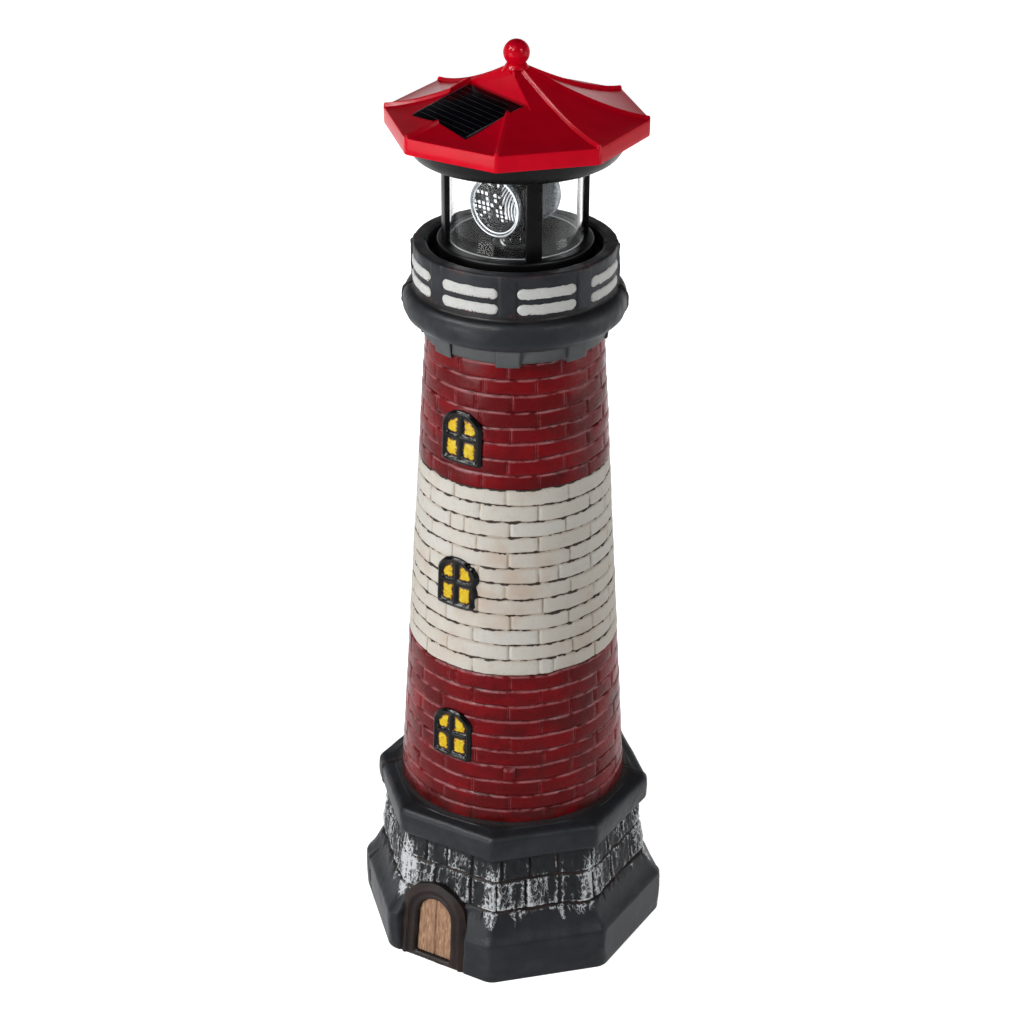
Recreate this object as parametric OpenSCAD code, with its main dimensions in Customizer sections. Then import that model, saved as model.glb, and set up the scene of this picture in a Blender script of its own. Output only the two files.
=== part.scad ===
// Garden lighthouse ornament: a cast, painted tower with a lift-out solar lamp head.
// Millimetres, +Z up, origin at the centre of the foot's underside. The door faces -Y.

/* [Plinth] */
// Corner radius of the octagonal foot at the ground
foot_r = 111.4; // [106:0.2:125]
// How much the foot draws in to its upper edge
foot_taper = 2.2; // [0:0.1:5]
// Height of the foot's upright face
foot_h = 26; // [18:0.5:40]
// Height of the sloping skirt above the foot
skirt_h = 22; // [14:0.5:34]
// Corner radius of the stone wall where it leaves the skirt
wall_r = 98.5; // [96:0.2:104]
// How much the stone wall leans in to the cornice
wall_lean = 5; // [1:0.2:7]
// Height of the stone wall
wall_h = 47; // [38:0.5:70]
// How far the cornice overhangs the wall
cornice_out = 6.6; // [3:0.2:10]
// Height of the cornice
cornice_h = 22.4; // [16:0.2:30]
// Radius that rounds the plinth's upright corners
corner_round = 16; // [4:0.5:26]

/* [Tower] */
// Radius of the brick tower where it leaves the cornice
tower_low_r = 80.6; // [76:0.2:84]
// Radius of the brick tower under the gallery
tower_top_r = 60.2; // [58:0.2:64]
// Height of one course in the lower red zone
low_course_h = 11.8; // [10:0.1:14]
// Height of one course in the white zone
mid_course_h = 11.5; // [10:0.1:14]
// Height of one course in the upper red zone
top_course_h = 11.2; // [10:0.1:14]
// Courses in the lower red zone
low_courses = 10; // [9:1:12]
// Courses in the white zone
mid_courses = 12; // [9:1:14]
// Courses in the upper red zone
top_courses = 8; // [7:1:10]
// Depth of the joint between two courses
joint_depth = 1; // [0.4:0.1:1.6]
// Height of the joint between two courses
joint_h = 1.6; // [0.8:0.1:2.4]
// Thickness of the cast wall
cast_wall = 4.5; // [3:0.1:7]
// Thickness of the closed bottom
cast_floor = 6; // [4:0.5:10]
// Radius of the vent hole in the bottom
vent_r = 1.5; // [0.8:0.1:1.9]

/* [Windows and door] */
// Turn of the windows and the door from the middle of the front
front_turn = -3; // [-8:0.5:8]
// Width of a window over its frame
window_w = 31.5; // [26:0.5:36]
// Height of a window over its frame
window_h = 37.5; // [32:0.5:44]
// How far a window frame stands off the bricks
window_relief = 2.5; // [1:0.1:4]
// Width of the window's frame and of its cross bars
window_bar = 4.2; // [3:0.1:5]
// Middle of the lowest window above the cornice
window_low = 66; // [40:1:80]
// Middle of the middle window above the cornice
window_mid = 183; // [140:1:210]
// Middle of the highest window above the cornice
window_high = 289.5; // [250:0.5:310]
// Width of the door surround
door_w = 53; // [44:0.5:60]
// Height of the door surround
door_h = 67; // [56:0.5:72]
// Width of the surround's frame
door_frame = 13; // [8:0.5:16]
// Depth of the door leaf inside its surround
door_inset = 5; // [2:0.2:7]
// Lean of the door's face
door_lean = 6; // [2:0.5:9]

/* [Gallery] */
// Turn of the gallery's posts and corbels from the plinth's corners
gallery_turn = 4; // [-10:0.5:10]
// Height of the plain band under the gallery
band_h = 10; // [6:0.5:14]
// How far the band stands off the bricks
band_out = 1.6; // [0.6:0.1:3]
// Width of a corbel
corbel_w = 16.5; // [10:0.5:22]
// How far a corbel hangs below the band
corbel_drop = 3.4; // [1:0.2:8]
// How far a corbel stands off the band
corbel_out = 3.6; // [2:0.2:6]
// Radius of the gallery's rounded ring in section
ring_section = 11.4; // [9:0.2:14]
// Distance from the axis to the middle of that section
ring_r = 63.4; // [61:0.2:68]
// Outside radius of the parapet
parapet_r = 67.5; // [66:0.1:72]
// Height of the parapet above the middle of the ring
parapet_h = 41.5; // [36:0.5:50]
// Angle that one slot of the parapet spans
slot_span = 35; // [26:0.5:38]
// Height of one slot
slot_h = 8.8; // [6:0.2:10]
// Distance between the two rows of slots
slot_pitch = 11.3; // [10.2:0.1:14]
// How far the slot panels stand off the parapet
slot_relief = 0.8; // [0.3:0.1:1.5]
// Height of the upper slot's middle below the parapet's top
slot_drop = 9.3; // [8:0.1:12]

/* [Head socket] */
// Radius of the opening inside the parapet
socket_r = 58; // [57.8:0.1:60]
// Depth of the ledge that carries the lamp head
socket_depth = 11.5; // [8:0.5:16]
// Depth of the recess below the ledge
recess_depth = 53; // [50:0.5:60]
// Clearance between the head's housing and the recess
recess_gap = 1.9; // [0.8:0.1:2.5]

/* [Base plate] */
// Gap between the head's flange and the parapet
flange_gap = 0.8; // [0.4:0.1:1.5]
// Thickness of the flange
flange_h = 3; // [2:0.1:4]
// Radius of the raised plate
plate_r = 52; // [50.5:0.1:53]
// Height of the raised plate above the ledge
plate_h = 14; // [12.5:0.1:16]
// Thickness of the moulded plastic walls
skin = 2.4; // [1.6:0.1:3]
// Height of the bowl's middle above the ledge
bowl_rise = 1; // [0.5:0.1:2]

/* [Lantern] */
// Outside radius of the clear tube
glass_r = 44.4; // [43:0.1:45]
// Wall of the clear tube
glass_wall = 1.8; // [1:0.1:2.4]
// Depth of the seats that hold the clear tube
glass_seat = 1; // [0.5:0.1:1.6]
// Clear height between the plate and the bowl under the roof
lantern_h = 58.4; // [54:0.2:80]
// Width of a post
post_w = 10.5; // [8:0.1:12]
// Thickness of a post
post_t = 3.6; // [3:0.1:4]
// Gap between the clear tube and the posts
post_gap = 0.8; // [0.3:0.1:1.2]
// Width of the tenon at each end of a post
tenon_w = 6.4; // [4:0.1:7.6]
// Thickness of that tenon
tenon_t = 2; // [1.4:0.1:2.6]

/* [Roof] */
// Corner radius of the roof
roof_r = 87; // [84:0.2:95]
// Height of the roof's upright rim
rim_h = 11.2; // [8:0.2:15]
// Rise from the rim to the point where the ridges would meet
roof_rise = 33; // [30:0.5:40]
// How strongly the facets hollow in
roof_curve = 1.5; // [1.2:0.05:1.6]
// Thickness of the roof
roof_wall = 2.4; // [1.8:0.1:3]
// Height of the rib on each ridge
rib_h = 2.3; // [1:0.1:3]
// Half width of that rib
rib_half = 1.9; // [1.2:0.1:2.2]
// Radius of the ball on top
ball_r = 8.6; // [7:0.1:10]
// Radius of the ball's neck
neck_r = 6.3; // [5:0.1:6.6]
// Radius of the ball's spigot
spigot_r = 3; // [2:0.1:4]
// Length of the ball's spigot
spigot_l = 9; // [6:0.5:12]
// Gap between the rim of the under-roof bowl and the roof's wall
dish_gap = 2; // [1:0.1:6]
// How much wider the bowl's rim is than its flat bottom
dish_flare = 10; // [6:0.2:14]
// How far the bowl hangs below the roof's rim
dish_drop = 14.3; // [10:0.1:18]
// How far the bowl's rim stands inside the roof
dish_in = 3; // [1:0.2:5]
// Distance of the roof's screws from the edge of the bowl's bottom
roof_screw_in = 8; // [7:0.2:12]

/* [Solar panel] */
// Width of the panel
panel_w = 58.4; // [50:0.2:60]
// Length of the panel down the slope
panel_l = 46.8; // [40:0.2:48]
// Thickness of the panel's board
board_t = 1.9; // [1.2:0.1:2.2]
// Thickness of the coated cell on the board
cell_t = 0.6; // [0.4:0.1:1]
// Margin of bare board round the cell
cell_margin = 1.4; // [0.6:0.1:3]
// Slope of the panel
panel_slope = 14.7; // [12:0.1:17]
// Distance of the panel's middle from the axis
panel_out = 38.4; // [38:0.2:41]
// Height of the panel's face above the rim's upper edge
panel_rise = 9; // [8.6:0.1:10]
// Gap round the panel in its pocket
panel_gap = 0.4; // [0.2:0.1:0.8]

/* [Beam rotor] */
// Direction that the front reflector faces at rest
beam_turn = -97; // [-180:1:180]
// Radius of the turning hub
hub_r = 15.4; // [14:0.1:17]
// Height of the turning hub
hub_h = 8.6; // [6:0.1:10]
// Running gap under the hub
hub_gap = 0.4; // [0.2:0.05:0.8]
// Outside radius of the clear toothed ring on the hub
crown_r = 10; // [8.6:0.1:12]
// Height of that ring
crown_h = 5.4; // [3:0.1:6]
// Teeth of that ring
crown_teeth = 12; // [8:1:16]
// Height of the reflectors' axis above the plate
beam_h = 26; // [24.5:0.1:30]
// Distance of a reflector's face from the axis
beam_out = 23.1; // [21:0.1:26]
// Outside radius of a reflector's rim
rim_r = 20.1; // [17:0.1:21]
// Thickness of a reflector's wall
mirror_wall = 1.3; // [0.8:0.1:1.8]
// Thickness of a reflector's rim
mirror_rim_t = 3.2; // [2.6:0.1:4]
// Width of the ledge that carries the lens
lens_ledge = 1.5; // [1:0.1:2.2]
// Thickness of the lens
lens_t = 1.5; // [1:0.1:2]
// Radius of the light source
led_r = 2.5; // [1.5:0.1:2.6]
// Thickness of the carrier between the reflectors
carrier_t = 9; // [7:0.2:11]
// Width of the carrier
carrier_w = 17; // [13:0.5:20]

/* [Mechanism] */
// Height of the housing below the ledge
housing_h = 37; // [36:0.5:42]
// Outside radius of the housing
housing_r = 50.5; // [50:0.1:51]
// Wall of the housing
housing_wall = 2.2; // [1.6:0.1:2.6]
// Thickness of the housing's floor
housing_floor = 2; // [1.6:0.1:3]
// Gear module
gear_m = 0.5; // [0.45:0.01:0.52]
// Teeth of the output gear
out_teeth = 50; // [48:1:54]
// Teeth of each larger wheel
wheel_teeth = 40; // [36:1:42]
// Teeth of each pinion
pinion_teeth = 10; // [9:1:12]
// Thickness of each wheel
wheel_t = 3; // [2:0.1:3.4]
// Radius of the output shaft
shaft_r = 2; // [1.6:0.1:2.2]
// Radius of the fixed gear pins
pin_r = 1.2; // [0.8:0.1:1.2]
// Radius of the motor's shaft
motor_shaft_r = 1; // [0.7:0.1:1.1]
// Running clearance of every shaft in its bore
run_fit = 0.06; // [0.04:0.01:0.08]
// Radius of the motor's case
motor_r = 10; // [8:0.1:10.5]
// Thickness of the gearbox plate
gearbox_t = 2; // [1.5:0.1:2.5]
// Height of the gearbox plate above the housing's floor
gearbox_lift = 14; // [13.4:0.1:15]

/* [Power] */
// Radius of a rechargeable cell
cell_r = 5.15; // [4.8:0.05:5.25]
// Length of a rechargeable cell with its button
cell_l = 44.5; // [40:0.5:45]
// Distance between the two cells
cell_pitch = 11.2; // [10.8:0.1:12]
// Distance of the inner cell from the axis
cell_y = 18.8; // [18:0.1:20]
// Width of the battery door
door_plate_w = 46; // [45.2:0.1:48]
// Depth of the battery door
door_plate_d = 24; // [23:0.5:25]
// Gap round the battery door
door_gap = 0.35; // [0.2:0.05:0.6]
// Width of the circuit board
pcb_w = 40; // [30:0.5:46]
// Depth of the circuit board
pcb_d = 20; // [14:0.5:21]
// Thickness of the circuit board
pcb_t = 1.6; // [1:0.1:2]
// Length of the switch's case
switch_l = 12; // [10:0.5:14]
// Width of the switch's case
switch_w = 6; // [5:0.2:7]
// Height of the switch's case
switch_h = 5; // [4:0.2:6]
// Side of the switch's knob
knob_w = 3; // [2.4:0.1:3.4]
// Travel of the switch's knob
knob_travel = 4; // [2:0.5:5]
// Radius of one lead of the panel's cable
lead_r = 0.65; // [0.4:0.05:0.7]

/* [Screws] */
// Radius of the screws' shanks
screw_r = 1.45; // [1.2:0.05:1.5]
// Radius of the screws' heads
screw_head_r = 2.8; // [2.4:0.1:3]
// Height of the screws' heads
screw_head_h = 1.8; // [1.4:0.1:2.2]
// Radius of the moulded bosses that take the screws
boss_r = 4; // [3.6:0.1:4.4]
// How deep the gearbox's screws bite; the long screws bite twice as deep
screw_bite = 6; // [5:0.5:7]
// Room past the end of a screw in its boss
blind_room = 2; // [1:0.5:3]
// Depth of the recesses for the housing's screws
screw_seat = 8; // [6:0.5:10]
// How far the plate's bosses reach down into the housing
boss_drop = 9; // [7:0.5:11]

/* [Hidden] */
$fn = 96;

sides = 8;
half_side = 180 / sides;
eps = 0.01;
over = 1;
snug = 0.05;
thread_gap = 0.03;

// Heights of the casting, from the ground up
z_foot = foot_h;
z_skirt = z_foot + skirt_h;
z_wall = z_skirt + wall_h;
z_tower = z_wall + cornice_h;
z_low = z_tower + low_courses * low_course_h;
z_mid = z_low + mid_courses * mid_course_h;
z_brick = z_mid + top_courses * top_course_h;
z_band = z_brick + band_h;
z_ring = z_band + ring_section + 0.6;
z_parapet = z_ring + parapet_h;
z_ledge = z_parapet - socket_depth;
z_recess = z_ledge - recess_depth;
recess_r = housing_r + recess_gap;
dish_rim_r = roof_r * cos(half_side) - roof_wall - dish_gap;
dish_r = dish_rim_r - dish_flare;
roof_screw_ring = dish_r - roof_screw_in;
flange_r = socket_r - flange_gap;

// Heights of the lamp head
z_plate = z_ledge + plate_h;
z_dish = z_plate + lantern_h;
z_rim = z_dish + dish_drop;
z_eave = z_rim + rim_h;
z_ball = z_eave + roof_rise + ball_r - 1.8;
z_bowl = z_ledge + bowl_rise;
z_under = z_bowl - skin;
z_hub = z_bowl + hub_gap;
z_hub_top = z_hub + hub_h;
z_beam = z_plate + beam_h;
z_house = z_ledge - housing_h;
z_house_in = z_house + housing_floor;
z_gearbox = z_house_in + gearbox_lift;
z_gears = z_gearbox + gearbox_t;
post_in = glass_r + post_gap;
post_mid = post_in + post_t / 2;

function corner_angle(k) = half_side + k * 360 / sides;
function tower_r(z) = tower_low_r + (tower_top_r - tower_low_r) * (z - z_tower) / (z_brick - z_tower);
function ring(pts, n, m) = [for (i = [0:n - 2], j = [0:m - 1], t = [0:1])
    t == 0 ? [i * m + j, i * m + (j + 1) % m, (i + 1) * m + (j + 1) % m]
           : [i * m + j, (i + 1) * m + (j + 1) % m, (i + 1) * m + j]];

// Closed solid through n level loops of m points, each loop running anticlockwise
module loft(loops) {
    n = len(loops);
    m = len(loops[0]);
    caps = [[for (j = [m - 1:-1:0]) j], [for (j = [0:m - 1]) (n - 1) * m + j]];
    walls = [for (f = ring(loops, n, m)) [f[2], f[1], f[0]]];
    polyhedron([for (l = loops) each l], concat([for (c = caps) [for (j = [m - 1:-1:0]) c[j]]], walls),
               convexity = 6);
}

// Loop of an octagon with rounded corners: corner radius, height, rounding
function round_octagon(r, z, round) = [for (k = [0:sides - 1], s = [-2:2])
    let (a = corner_angle(k),
         c = r - round / cos(half_side),
         b = a + s * half_side / 2)
    [c * cos(a) + round * cos(b), c * sin(a) + round * sin(b), z]];

// Upright arched outline: width, height and rise of the arch, with its foot at y = 0
module arch(w, h, rise) {
    big = (w * w / 4 + rise * rise) / (2 * rise);
    intersection() {
        translate([-w / 2, 0]) square([w, h]);
        union() {
            translate([-w / 2, 0]) square([w, h - rise]);
            translate([0, h - big]) circle(big);
        }
    }
}

// Stands a 2D outline up so that it faces -Y, from y = -near to y = -far
module facing_front(near, far) {
    translate([0, -near, 0]) rotate([90, 0, 0]) linear_extrude(far - near) children();
}

module around(angles) {
    for (a = angles) rotate([0, 0, a]) children();
}

// ---------------------------------------------------------------- casting

module plinth() {
    top_r = wall_r - wall_lean;
    out_r = top_r + cornice_out;
    h = cornice_h;
    loft([
        round_octagon(foot_r, 0, corner_round),
        round_octagon(foot_r - foot_taper * 0.6, z_foot - 3, corner_round),
        round_octagon(foot_r - foot_taper, z_foot, corner_round),
        round_octagon(wall_r, z_skirt, corner_round),
        round_octagon(top_r, z_wall, corner_round),
        round_octagon(out_r - 2.6, z_wall + 0.4, corner_round),
        round_octagon(out_r - 0.7, z_wall + h * 0.2, corner_round),
        round_octagon(out_r, z_wall + h * 0.45, corner_round),
        round_octagon(out_r - 0.9, z_wall + h * 0.7, corner_round),
        round_octagon(out_r - 3.2, z_wall + h * 0.9, corner_round),
        round_octagon(out_r - 6.4, z_wall + h, corner_round)
    ]);
}

// Profile of the bricks, with a joint under every course
function zone(z0, h, n, rise) = [for (i = [0:n - 1], p = [0:3])
    let (z = z0 + i * h)
    p == 0 ? [tower_r(z) + rise - joint_depth, z] :
    p == 1 ? [tower_r(z) + rise - joint_depth, z + joint_h * 0.3] :
    p == 2 ? [tower_r(z) + rise, z + joint_h] :
             [tower_r(z + h) + rise, z + h - joint_h * 0.3]];

function brick_profile(rise) = concat(
    [[0, z_tower - over], [tower_r(z_tower) + rise - joint_depth, z_tower - over]],
    zone(z_tower, low_course_h, low_courses, rise),
    zone(z_low, mid_course_h, mid_courses, rise),
    zone(z_mid, top_course_h, top_courses, rise),
    [[tower_r(z_brick) + rise, z_brick + over], [0, z_brick + over]]);

module low_bricks() {
    rotate_extrude() intersection() {
        polygon(brick_profile(0));
        translate([0, 0]) square([foot_r, z_low]);
    }
}

module mid_bricks() {
    rotate_extrude() intersection() {
        polygon(brick_profile(0));
        translate([0, z_low]) square([foot_r, z_mid - z_low]);
    }
}

module top_bricks() {
    rotate_extrude() intersection() {
        polygon(brick_profile(0));
        translate([0, z_mid]) square([foot_r, z_brick + over - z_mid]);
    }
}

// Smooth skin at a given height over the bricks, used to end the window reliefs
module tower_skin(rise) {
    rotate_extrude() polygon([
        [0, z_tower], [tower_r(z_tower) + rise, z_tower],
        [tower_r(z_brick) + rise, z_brick], [0, z_brick]
    ]);
}

module window_outline(shrink) {
    w = window_w - 2 * shrink;
    translate([0, shrink]) arch(w, window_h - 2 * shrink, w * 0.32);
}

module window_panes() {
    difference() {
        window_outline(window_bar);
        translate([-window_bar / 2, 0]) square([window_bar, window_h]);
        translate([-window_w / 2, window_h * 0.5 - window_bar / 2]) square([window_w, window_bar]);
    }
}

module windows() {
    for (i = [0:2]) {
        z = z_tower + [window_low, window_mid, window_high][i] - window_h / 2;
        rotate([0, 0, front_turn]) difference() {
            intersection() {
                translate([0, 0, z]) facing_front(tower_top_r - cast_wall, foot_r) window_outline(0);
                tower_skin(window_relief);
            }
            difference() {
                translate([0, 0, z]) facing_front(tower_top_r - cast_wall, foot_r) window_panes();
                tower_skin(window_relief * 0.3);
            }
        }
    }
}

module door_slab(shrink, depth) {
    front = foot_r * cos(half_side) + 0.4;
    w = door_w - 2 * shrink;
    translate([0, -front, 0]) rotate([-door_lean, 0, 0]) translate([0, depth, 0])
        rotate([90, 0, 0]) translate([0, 0, -door_w / 2]) linear_extrude(door_w / 2)
            translate([0, shrink * 0.5]) arch(w, door_h - 1.5 * shrink, w * 0.42);
}

module door_surround() {
    shift = foot_r * cos(half_side) * tan(front_turn);
    translate([shift, 0, 0]) intersection() {
        difference() {
            door_slab(0, 0);
            difference() {
                translate([0, -over, 0]) door_slab(door_frame, 0);
                door_slab(door_frame, door_inset);
            }
        }
        translate([-door_w, -foot_r * cos(half_side), 0]) cube([2 * door_w, foot_r, z_wall]);
    }
}

// Small block that stands off the bricks at the front right
module knob_brick() {
    z = z_tower + 3 * low_course_h;
    rotate([0, 0, -61]) translate([tower_r(z) - cast_wall, -4, z])
        cube([cast_wall + 3, 8, low_course_h - joint_h]);
}

module corbel() {
    low = z_brick - corbel_drop;
    near = tower_r(z_brick) - cast_wall;
    far = tower_r(z_brick) + band_out + corbel_out;
    translate([near, -corbel_w / 2, 0]) rotate([90, 0, 0]) mirror([0, 0, 1])
        linear_extrude(corbel_w) polygon([
            [0, low], [far - near - 1.4, low], [far - near, z_band], [far - near, z_ring], [0, z_ring]
        ]);
}

module gallery() {
    rotate_extrude() union() {
        translate([0, z_brick]) square([tower_r(z_brick) + band_out, z_ring - z_brick]);
        translate([ring_r, z_ring]) circle(ring_section);
        square_top = parapet_r - 2;
        polygon([
            [0, z_ring], [parapet_r + 1.4, z_ring + ring_section * 0.6],
            [parapet_r, z_ring + ring_section + 2], [parapet_r, z_parapet - 1.5],
            [square_top + 0.6, z_parapet - 0.2], [square_top, z_parapet], [0, z_parapet]
        ]);
    }
}

// One rounded slot panel, wrapped round the parapet
module slot(z) {
    length = slot_span * PI / 180 * parapet_r;
    intersection() {
        rotate_extrude() translate([parapet_r - 2, z - slot_h])
            square([2 + slot_relief, 2 * slot_h]);
        rotate([90, 0, 90]) linear_extrude(foot_r) union() {
            translate([-length / 2 + slot_h / 2, z - slot_h / 2]) square([length - slot_h, slot_h]);
            for (s = [-1, 1]) translate([s * (length - slot_h) / 2, z]) circle(slot_h / 2);
        }
    }
}

module slots() {
    for (row = [0, 1], k = [0:sides - 1])
        rotate([0, 0, gallery_turn + k * 360 / sides]) slot(z_parapet - slot_drop - row * slot_pitch);
}

module socket_cut() {
    rotate_extrude() union() {
        translate([0, z_ledge]) square([socket_r, z_parapet]);
        translate([0, z_recess]) square([recess_r, z_parapet - z_recess]);
    }
}

// The sealed hollow that the rotating mould leaves
module cast_hollow() {
    flat = cos(half_side);
    t = cast_wall;
    rotate_extrude() polygon([
        [0, cast_floor], [(foot_r - foot_taper) * flat - t - 2, cast_floor],
        [(foot_r - foot_taper) * flat - t - 2, z_foot - 4], [wall_r * flat - t - 1, z_skirt],
        [(wall_r - wall_lean) * flat - t - 1, z_wall], [tower_low_r - t, z_tower],
        [tower_r(z_recess - t - 8) - t - joint_depth, z_recess - t - 8],
        [recess_r - 6, z_recess - t], [0, z_recess - t]
    ]);
}

module tower_shell() {
    difference() {
        union() {
            color("#2f3135") plinth();
            color("#8f1a20") low_bricks();
            color("#d9d3c8") mid_bricks();
            color("#8f1a20") top_bricks();
            color("#1c1d20") windows();
            color("#2b2220") door_surround();
            color("#8f1a20") knob_brick();
            color("#6b6d6b") around([for (k = [0:sides - 1]) corner_angle(k) + gallery_turn]) corbel();
            color("#3a3c40") gallery();
            color("#dcdcd8") slots();
        }
        socket_cut();
        cast_hollow();
        translate([0, 0, -over]) cylinder(r = vent_r, h = cast_floor + 2 * over);
    }
}

// ---------------------------------------------------------------- roof

least = 7 / roof_r;
function roof_z(t) = roof_rise * pow(1 - t, roof_curve);
z_crown = z_eave + roof_z(least) + rib_h + 0.1;

// One level loop of the roof: corner radius, height of the surface, rib height and half width
function roof_loop(r, z, rib, half) = [for (k = [0:sides - 1], s = [-2:2])
    let (a = corner_angle(k),
         side = s * half / 2,
         back = r - abs(side) * tan(half_side) - 0.4 * pow(1 - abs(s) / 2, 2),
         lift = rib * (1 - pow(abs(s) / 2, 2)))
    [back * cos(a) - side * sin(a), back * sin(a) + side * cos(a), z + lift]];

module roof_solid(r, top, rib, bottom) {
    steps = 9;
    loft(concat(
        [roof_loop(r, bottom, 0, rib_half), roof_loop(r, top, rib, rib_half)],
        [for (i = [1:steps])
            let (t = 1 - (1 - least) * i / steps)
            roof_loop(r * t, top + roof_z(t), rib, rib_half)],
        [roof_loop(r * least - 0.6, top + roof_z(least) + rib + 0.1, 0, rib_half)]
    ));
}

// Side view of the panel's pocket, grown by a wall on every side but the top
module pocket_side(grow) {
    half = panel_l / 2 + panel_gap;
    deep = board_t + cell_t;
    low = panel_out + half * cos(panel_slope) + grow;
    high = panel_out - half * cos(panel_slope) - deep * sin(panel_slope) - grow * 0.6;
    bed = z_eave + panel_rise - deep / cos(panel_slope) - grow;
    polygon([
        [low, bed - (low - panel_out) * tan(panel_slope)],
        [high, bed + (panel_out - high) * tan(panel_slope)],
        [neck_r + 0.4 - grow * 0.6, z_eave + roof_rise - 3.4 - grow * 0.6],
        [neck_r + 0.4 - grow * 0.6, z_ball], [low, z_ball]
    ]);
}

module panel_pocket(grow) {
    w = panel_w + 2 * panel_gap + 2 * grow;
    rotate([0, 0, corner_angle(-3)]) translate([0, w / 2, 0]) rotate([90, 0, 0])
        linear_extrude(w) pocket_side(grow);
}

// Puts a child on the panel's face: x down the slope, y across, z out of the face
module on_panel() {
    rotate([0, 0, corner_angle(-3)]) translate([panel_out, 0, z_eave + panel_rise])
        rotate([0, panel_slope, 0]) children();
}

roof_boss_top = z_eave + 1;

module roof_shell() {
    color("#c8001e") difference() {
        union() {
            difference() {
                roof_solid(roof_r, z_eave, rib_h, z_rim);
                roof_solid(roof_r - roof_wall / cos(half_side), z_eave - roof_wall, 0, z_rim - over);
            }
            intersection() {
                roof_solid(roof_r - 0.2, z_eave - 0.1, 0, z_rim);
                union() {
                    panel_pocket(roof_wall);
                    around([0, 90, 180, 270]) translate([roof_screw_ring, 0, z_dish + skin])
                        cylinder(r = boss_r, h = roof_rise + rim_h + dish_drop);
                    translate([0, 0, z_ball - ball_r - spigot_l - 4])
                        cylinder(r = spigot_r + roof_wall, h = spigot_l + 6);
                }
            }
            around([0, 90, 180, 270]) translate([roof_screw_ring, 0, z_dish + skin])
                cylinder(r = boss_r, h = dish_drop - skin + 2);
        }
        panel_pocket(0);
        around([0, 90, 180, 270]) translate([roof_screw_ring, 0, z_dish])
            cylinder(r = screw_r + thread_gap, h = 2 * screw_bite + blind_room);
        translate([0, 0, z_ball - ball_r - spigot_l - 1.2])
            cylinder(r = spigot_r + snug, h = spigot_l + 3 * ball_r);
        on_panel() translate([-12, 0, -20]) cylinder(r = 3, h = 22);
    }
}

module finial_ball() {
    color("#c8001e") {
        translate([0, 0, z_ball]) sphere(ball_r);
        translate([0, 0, z_crown]) cylinder(r = neck_r, h = z_ball - z_crown - 3);
        translate([0, 0, z_ball - ball_r - spigot_l]) cylinder(r = spigot_r, h = spigot_l + 2);
    }
}

module solar_board() {
    color("#151515") on_panel() translate([-panel_l / 2, -panel_w / 2, -cell_t - board_t])
        cube([panel_l, panel_w, board_t]);
}

module solar_cell() {
    color("#0a0c12") on_panel()
        translate([cell_margin - panel_l / 2, cell_margin - panel_w / 2, -cell_t])
            cube([panel_l - 2 * cell_margin, panel_w - 2 * cell_margin, cell_t]);
}

module under_dish() {
    top = z_rim + dish_in;
    color("#151515") difference() {
        rotate_extrude() polygon([
            [0, z_dish], [dish_r, z_dish], [dish_r + 1.5, z_dish + 0.9], [dish_r + 4.6, z_dish + 5],
            [dish_rim_r - 1.2, z_rim - 1], [dish_rim_r, top], [dish_rim_r - skin, top],
            [dish_rim_r - skin - 1.4, z_rim - 1], [dish_r + 2.2, z_dish + 6],
            [dish_r - 0.6, z_dish + skin], [0, z_dish + skin]
        ]);
        glass_groove(z_dish - over, z_dish + glass_seat);
        around([0, 90, 180, 270]) translate([roof_screw_ring, 0, z_dish - over])
            cylinder(r = screw_r + thread_gap, h = 2 * skin);
        around([0, 90, 180, 270]) translate([roof_screw_ring, 0, z_dish - over])
            cylinder(r = screw_head_r + 0.3, h = over + 0.8);
        around([45, 135, 225, 315]) tenon_hole(z_dish - over, skin + 2 * over);
    }
}

// ---------------------------------------------------------------- lantern

module glass_groove(low, high) {
    translate([0, 0, low]) difference() {
        cylinder(r = glass_r + 0.15, h = high - low);
        translate([0, 0, -over]) cylinder(r = glass_r - glass_wall - 0.15, h = high - low + 2 * over);
    }
}

module tenon_hole(z, h) {
    translate([post_mid - tenon_t / 2 - snug, -tenon_w / 2 - snug, z])
        cube([tenon_t + 2 * snug, tenon_w + 2 * snug, h]);
}

module post(hollow) {
    color("#1a1a1b") difference() {
        union() {
            translate([post_in, -post_w / 2, z_plate]) cube([post_t, post_w, z_dish - z_plate]);
            translate([post_mid - tenon_t / 2, -tenon_w / 2, z_plate - skin])
                cube([tenon_t, tenon_w, z_dish - z_plate + 2 * skin]);
        }
        if (hollow) translate([post_mid - lead_r - 0.05, -2 * lead_r - 0.3, z_plate - skin - over])
            cube([2 * lead_r + 0.1, 4 * lead_r + 0.6, z_dish - z_plate + 2 * skin + 2 * over]);
    }
}

module post_front_right() rotate([0, 0, -45]) post(false);
module post_back_right() rotate([0, 0, 45]) post(false);
module post_back_left() rotate([0, 0, 135]) post(true);
module post_front_left() rotate([0, 0, -135]) post(false);

module glass_tube() {
    color("#dfe9ee", 0.35) rotate_extrude()
        translate([glass_r - glass_wall, z_plate - glass_seat])
            square([glass_wall, z_dish - z_plate + 2 * glass_seat]);
}

base_screws = [30, 150, 270];
base_screw_ring = housing_r - housing_wall - boss_r - 0.3;

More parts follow.
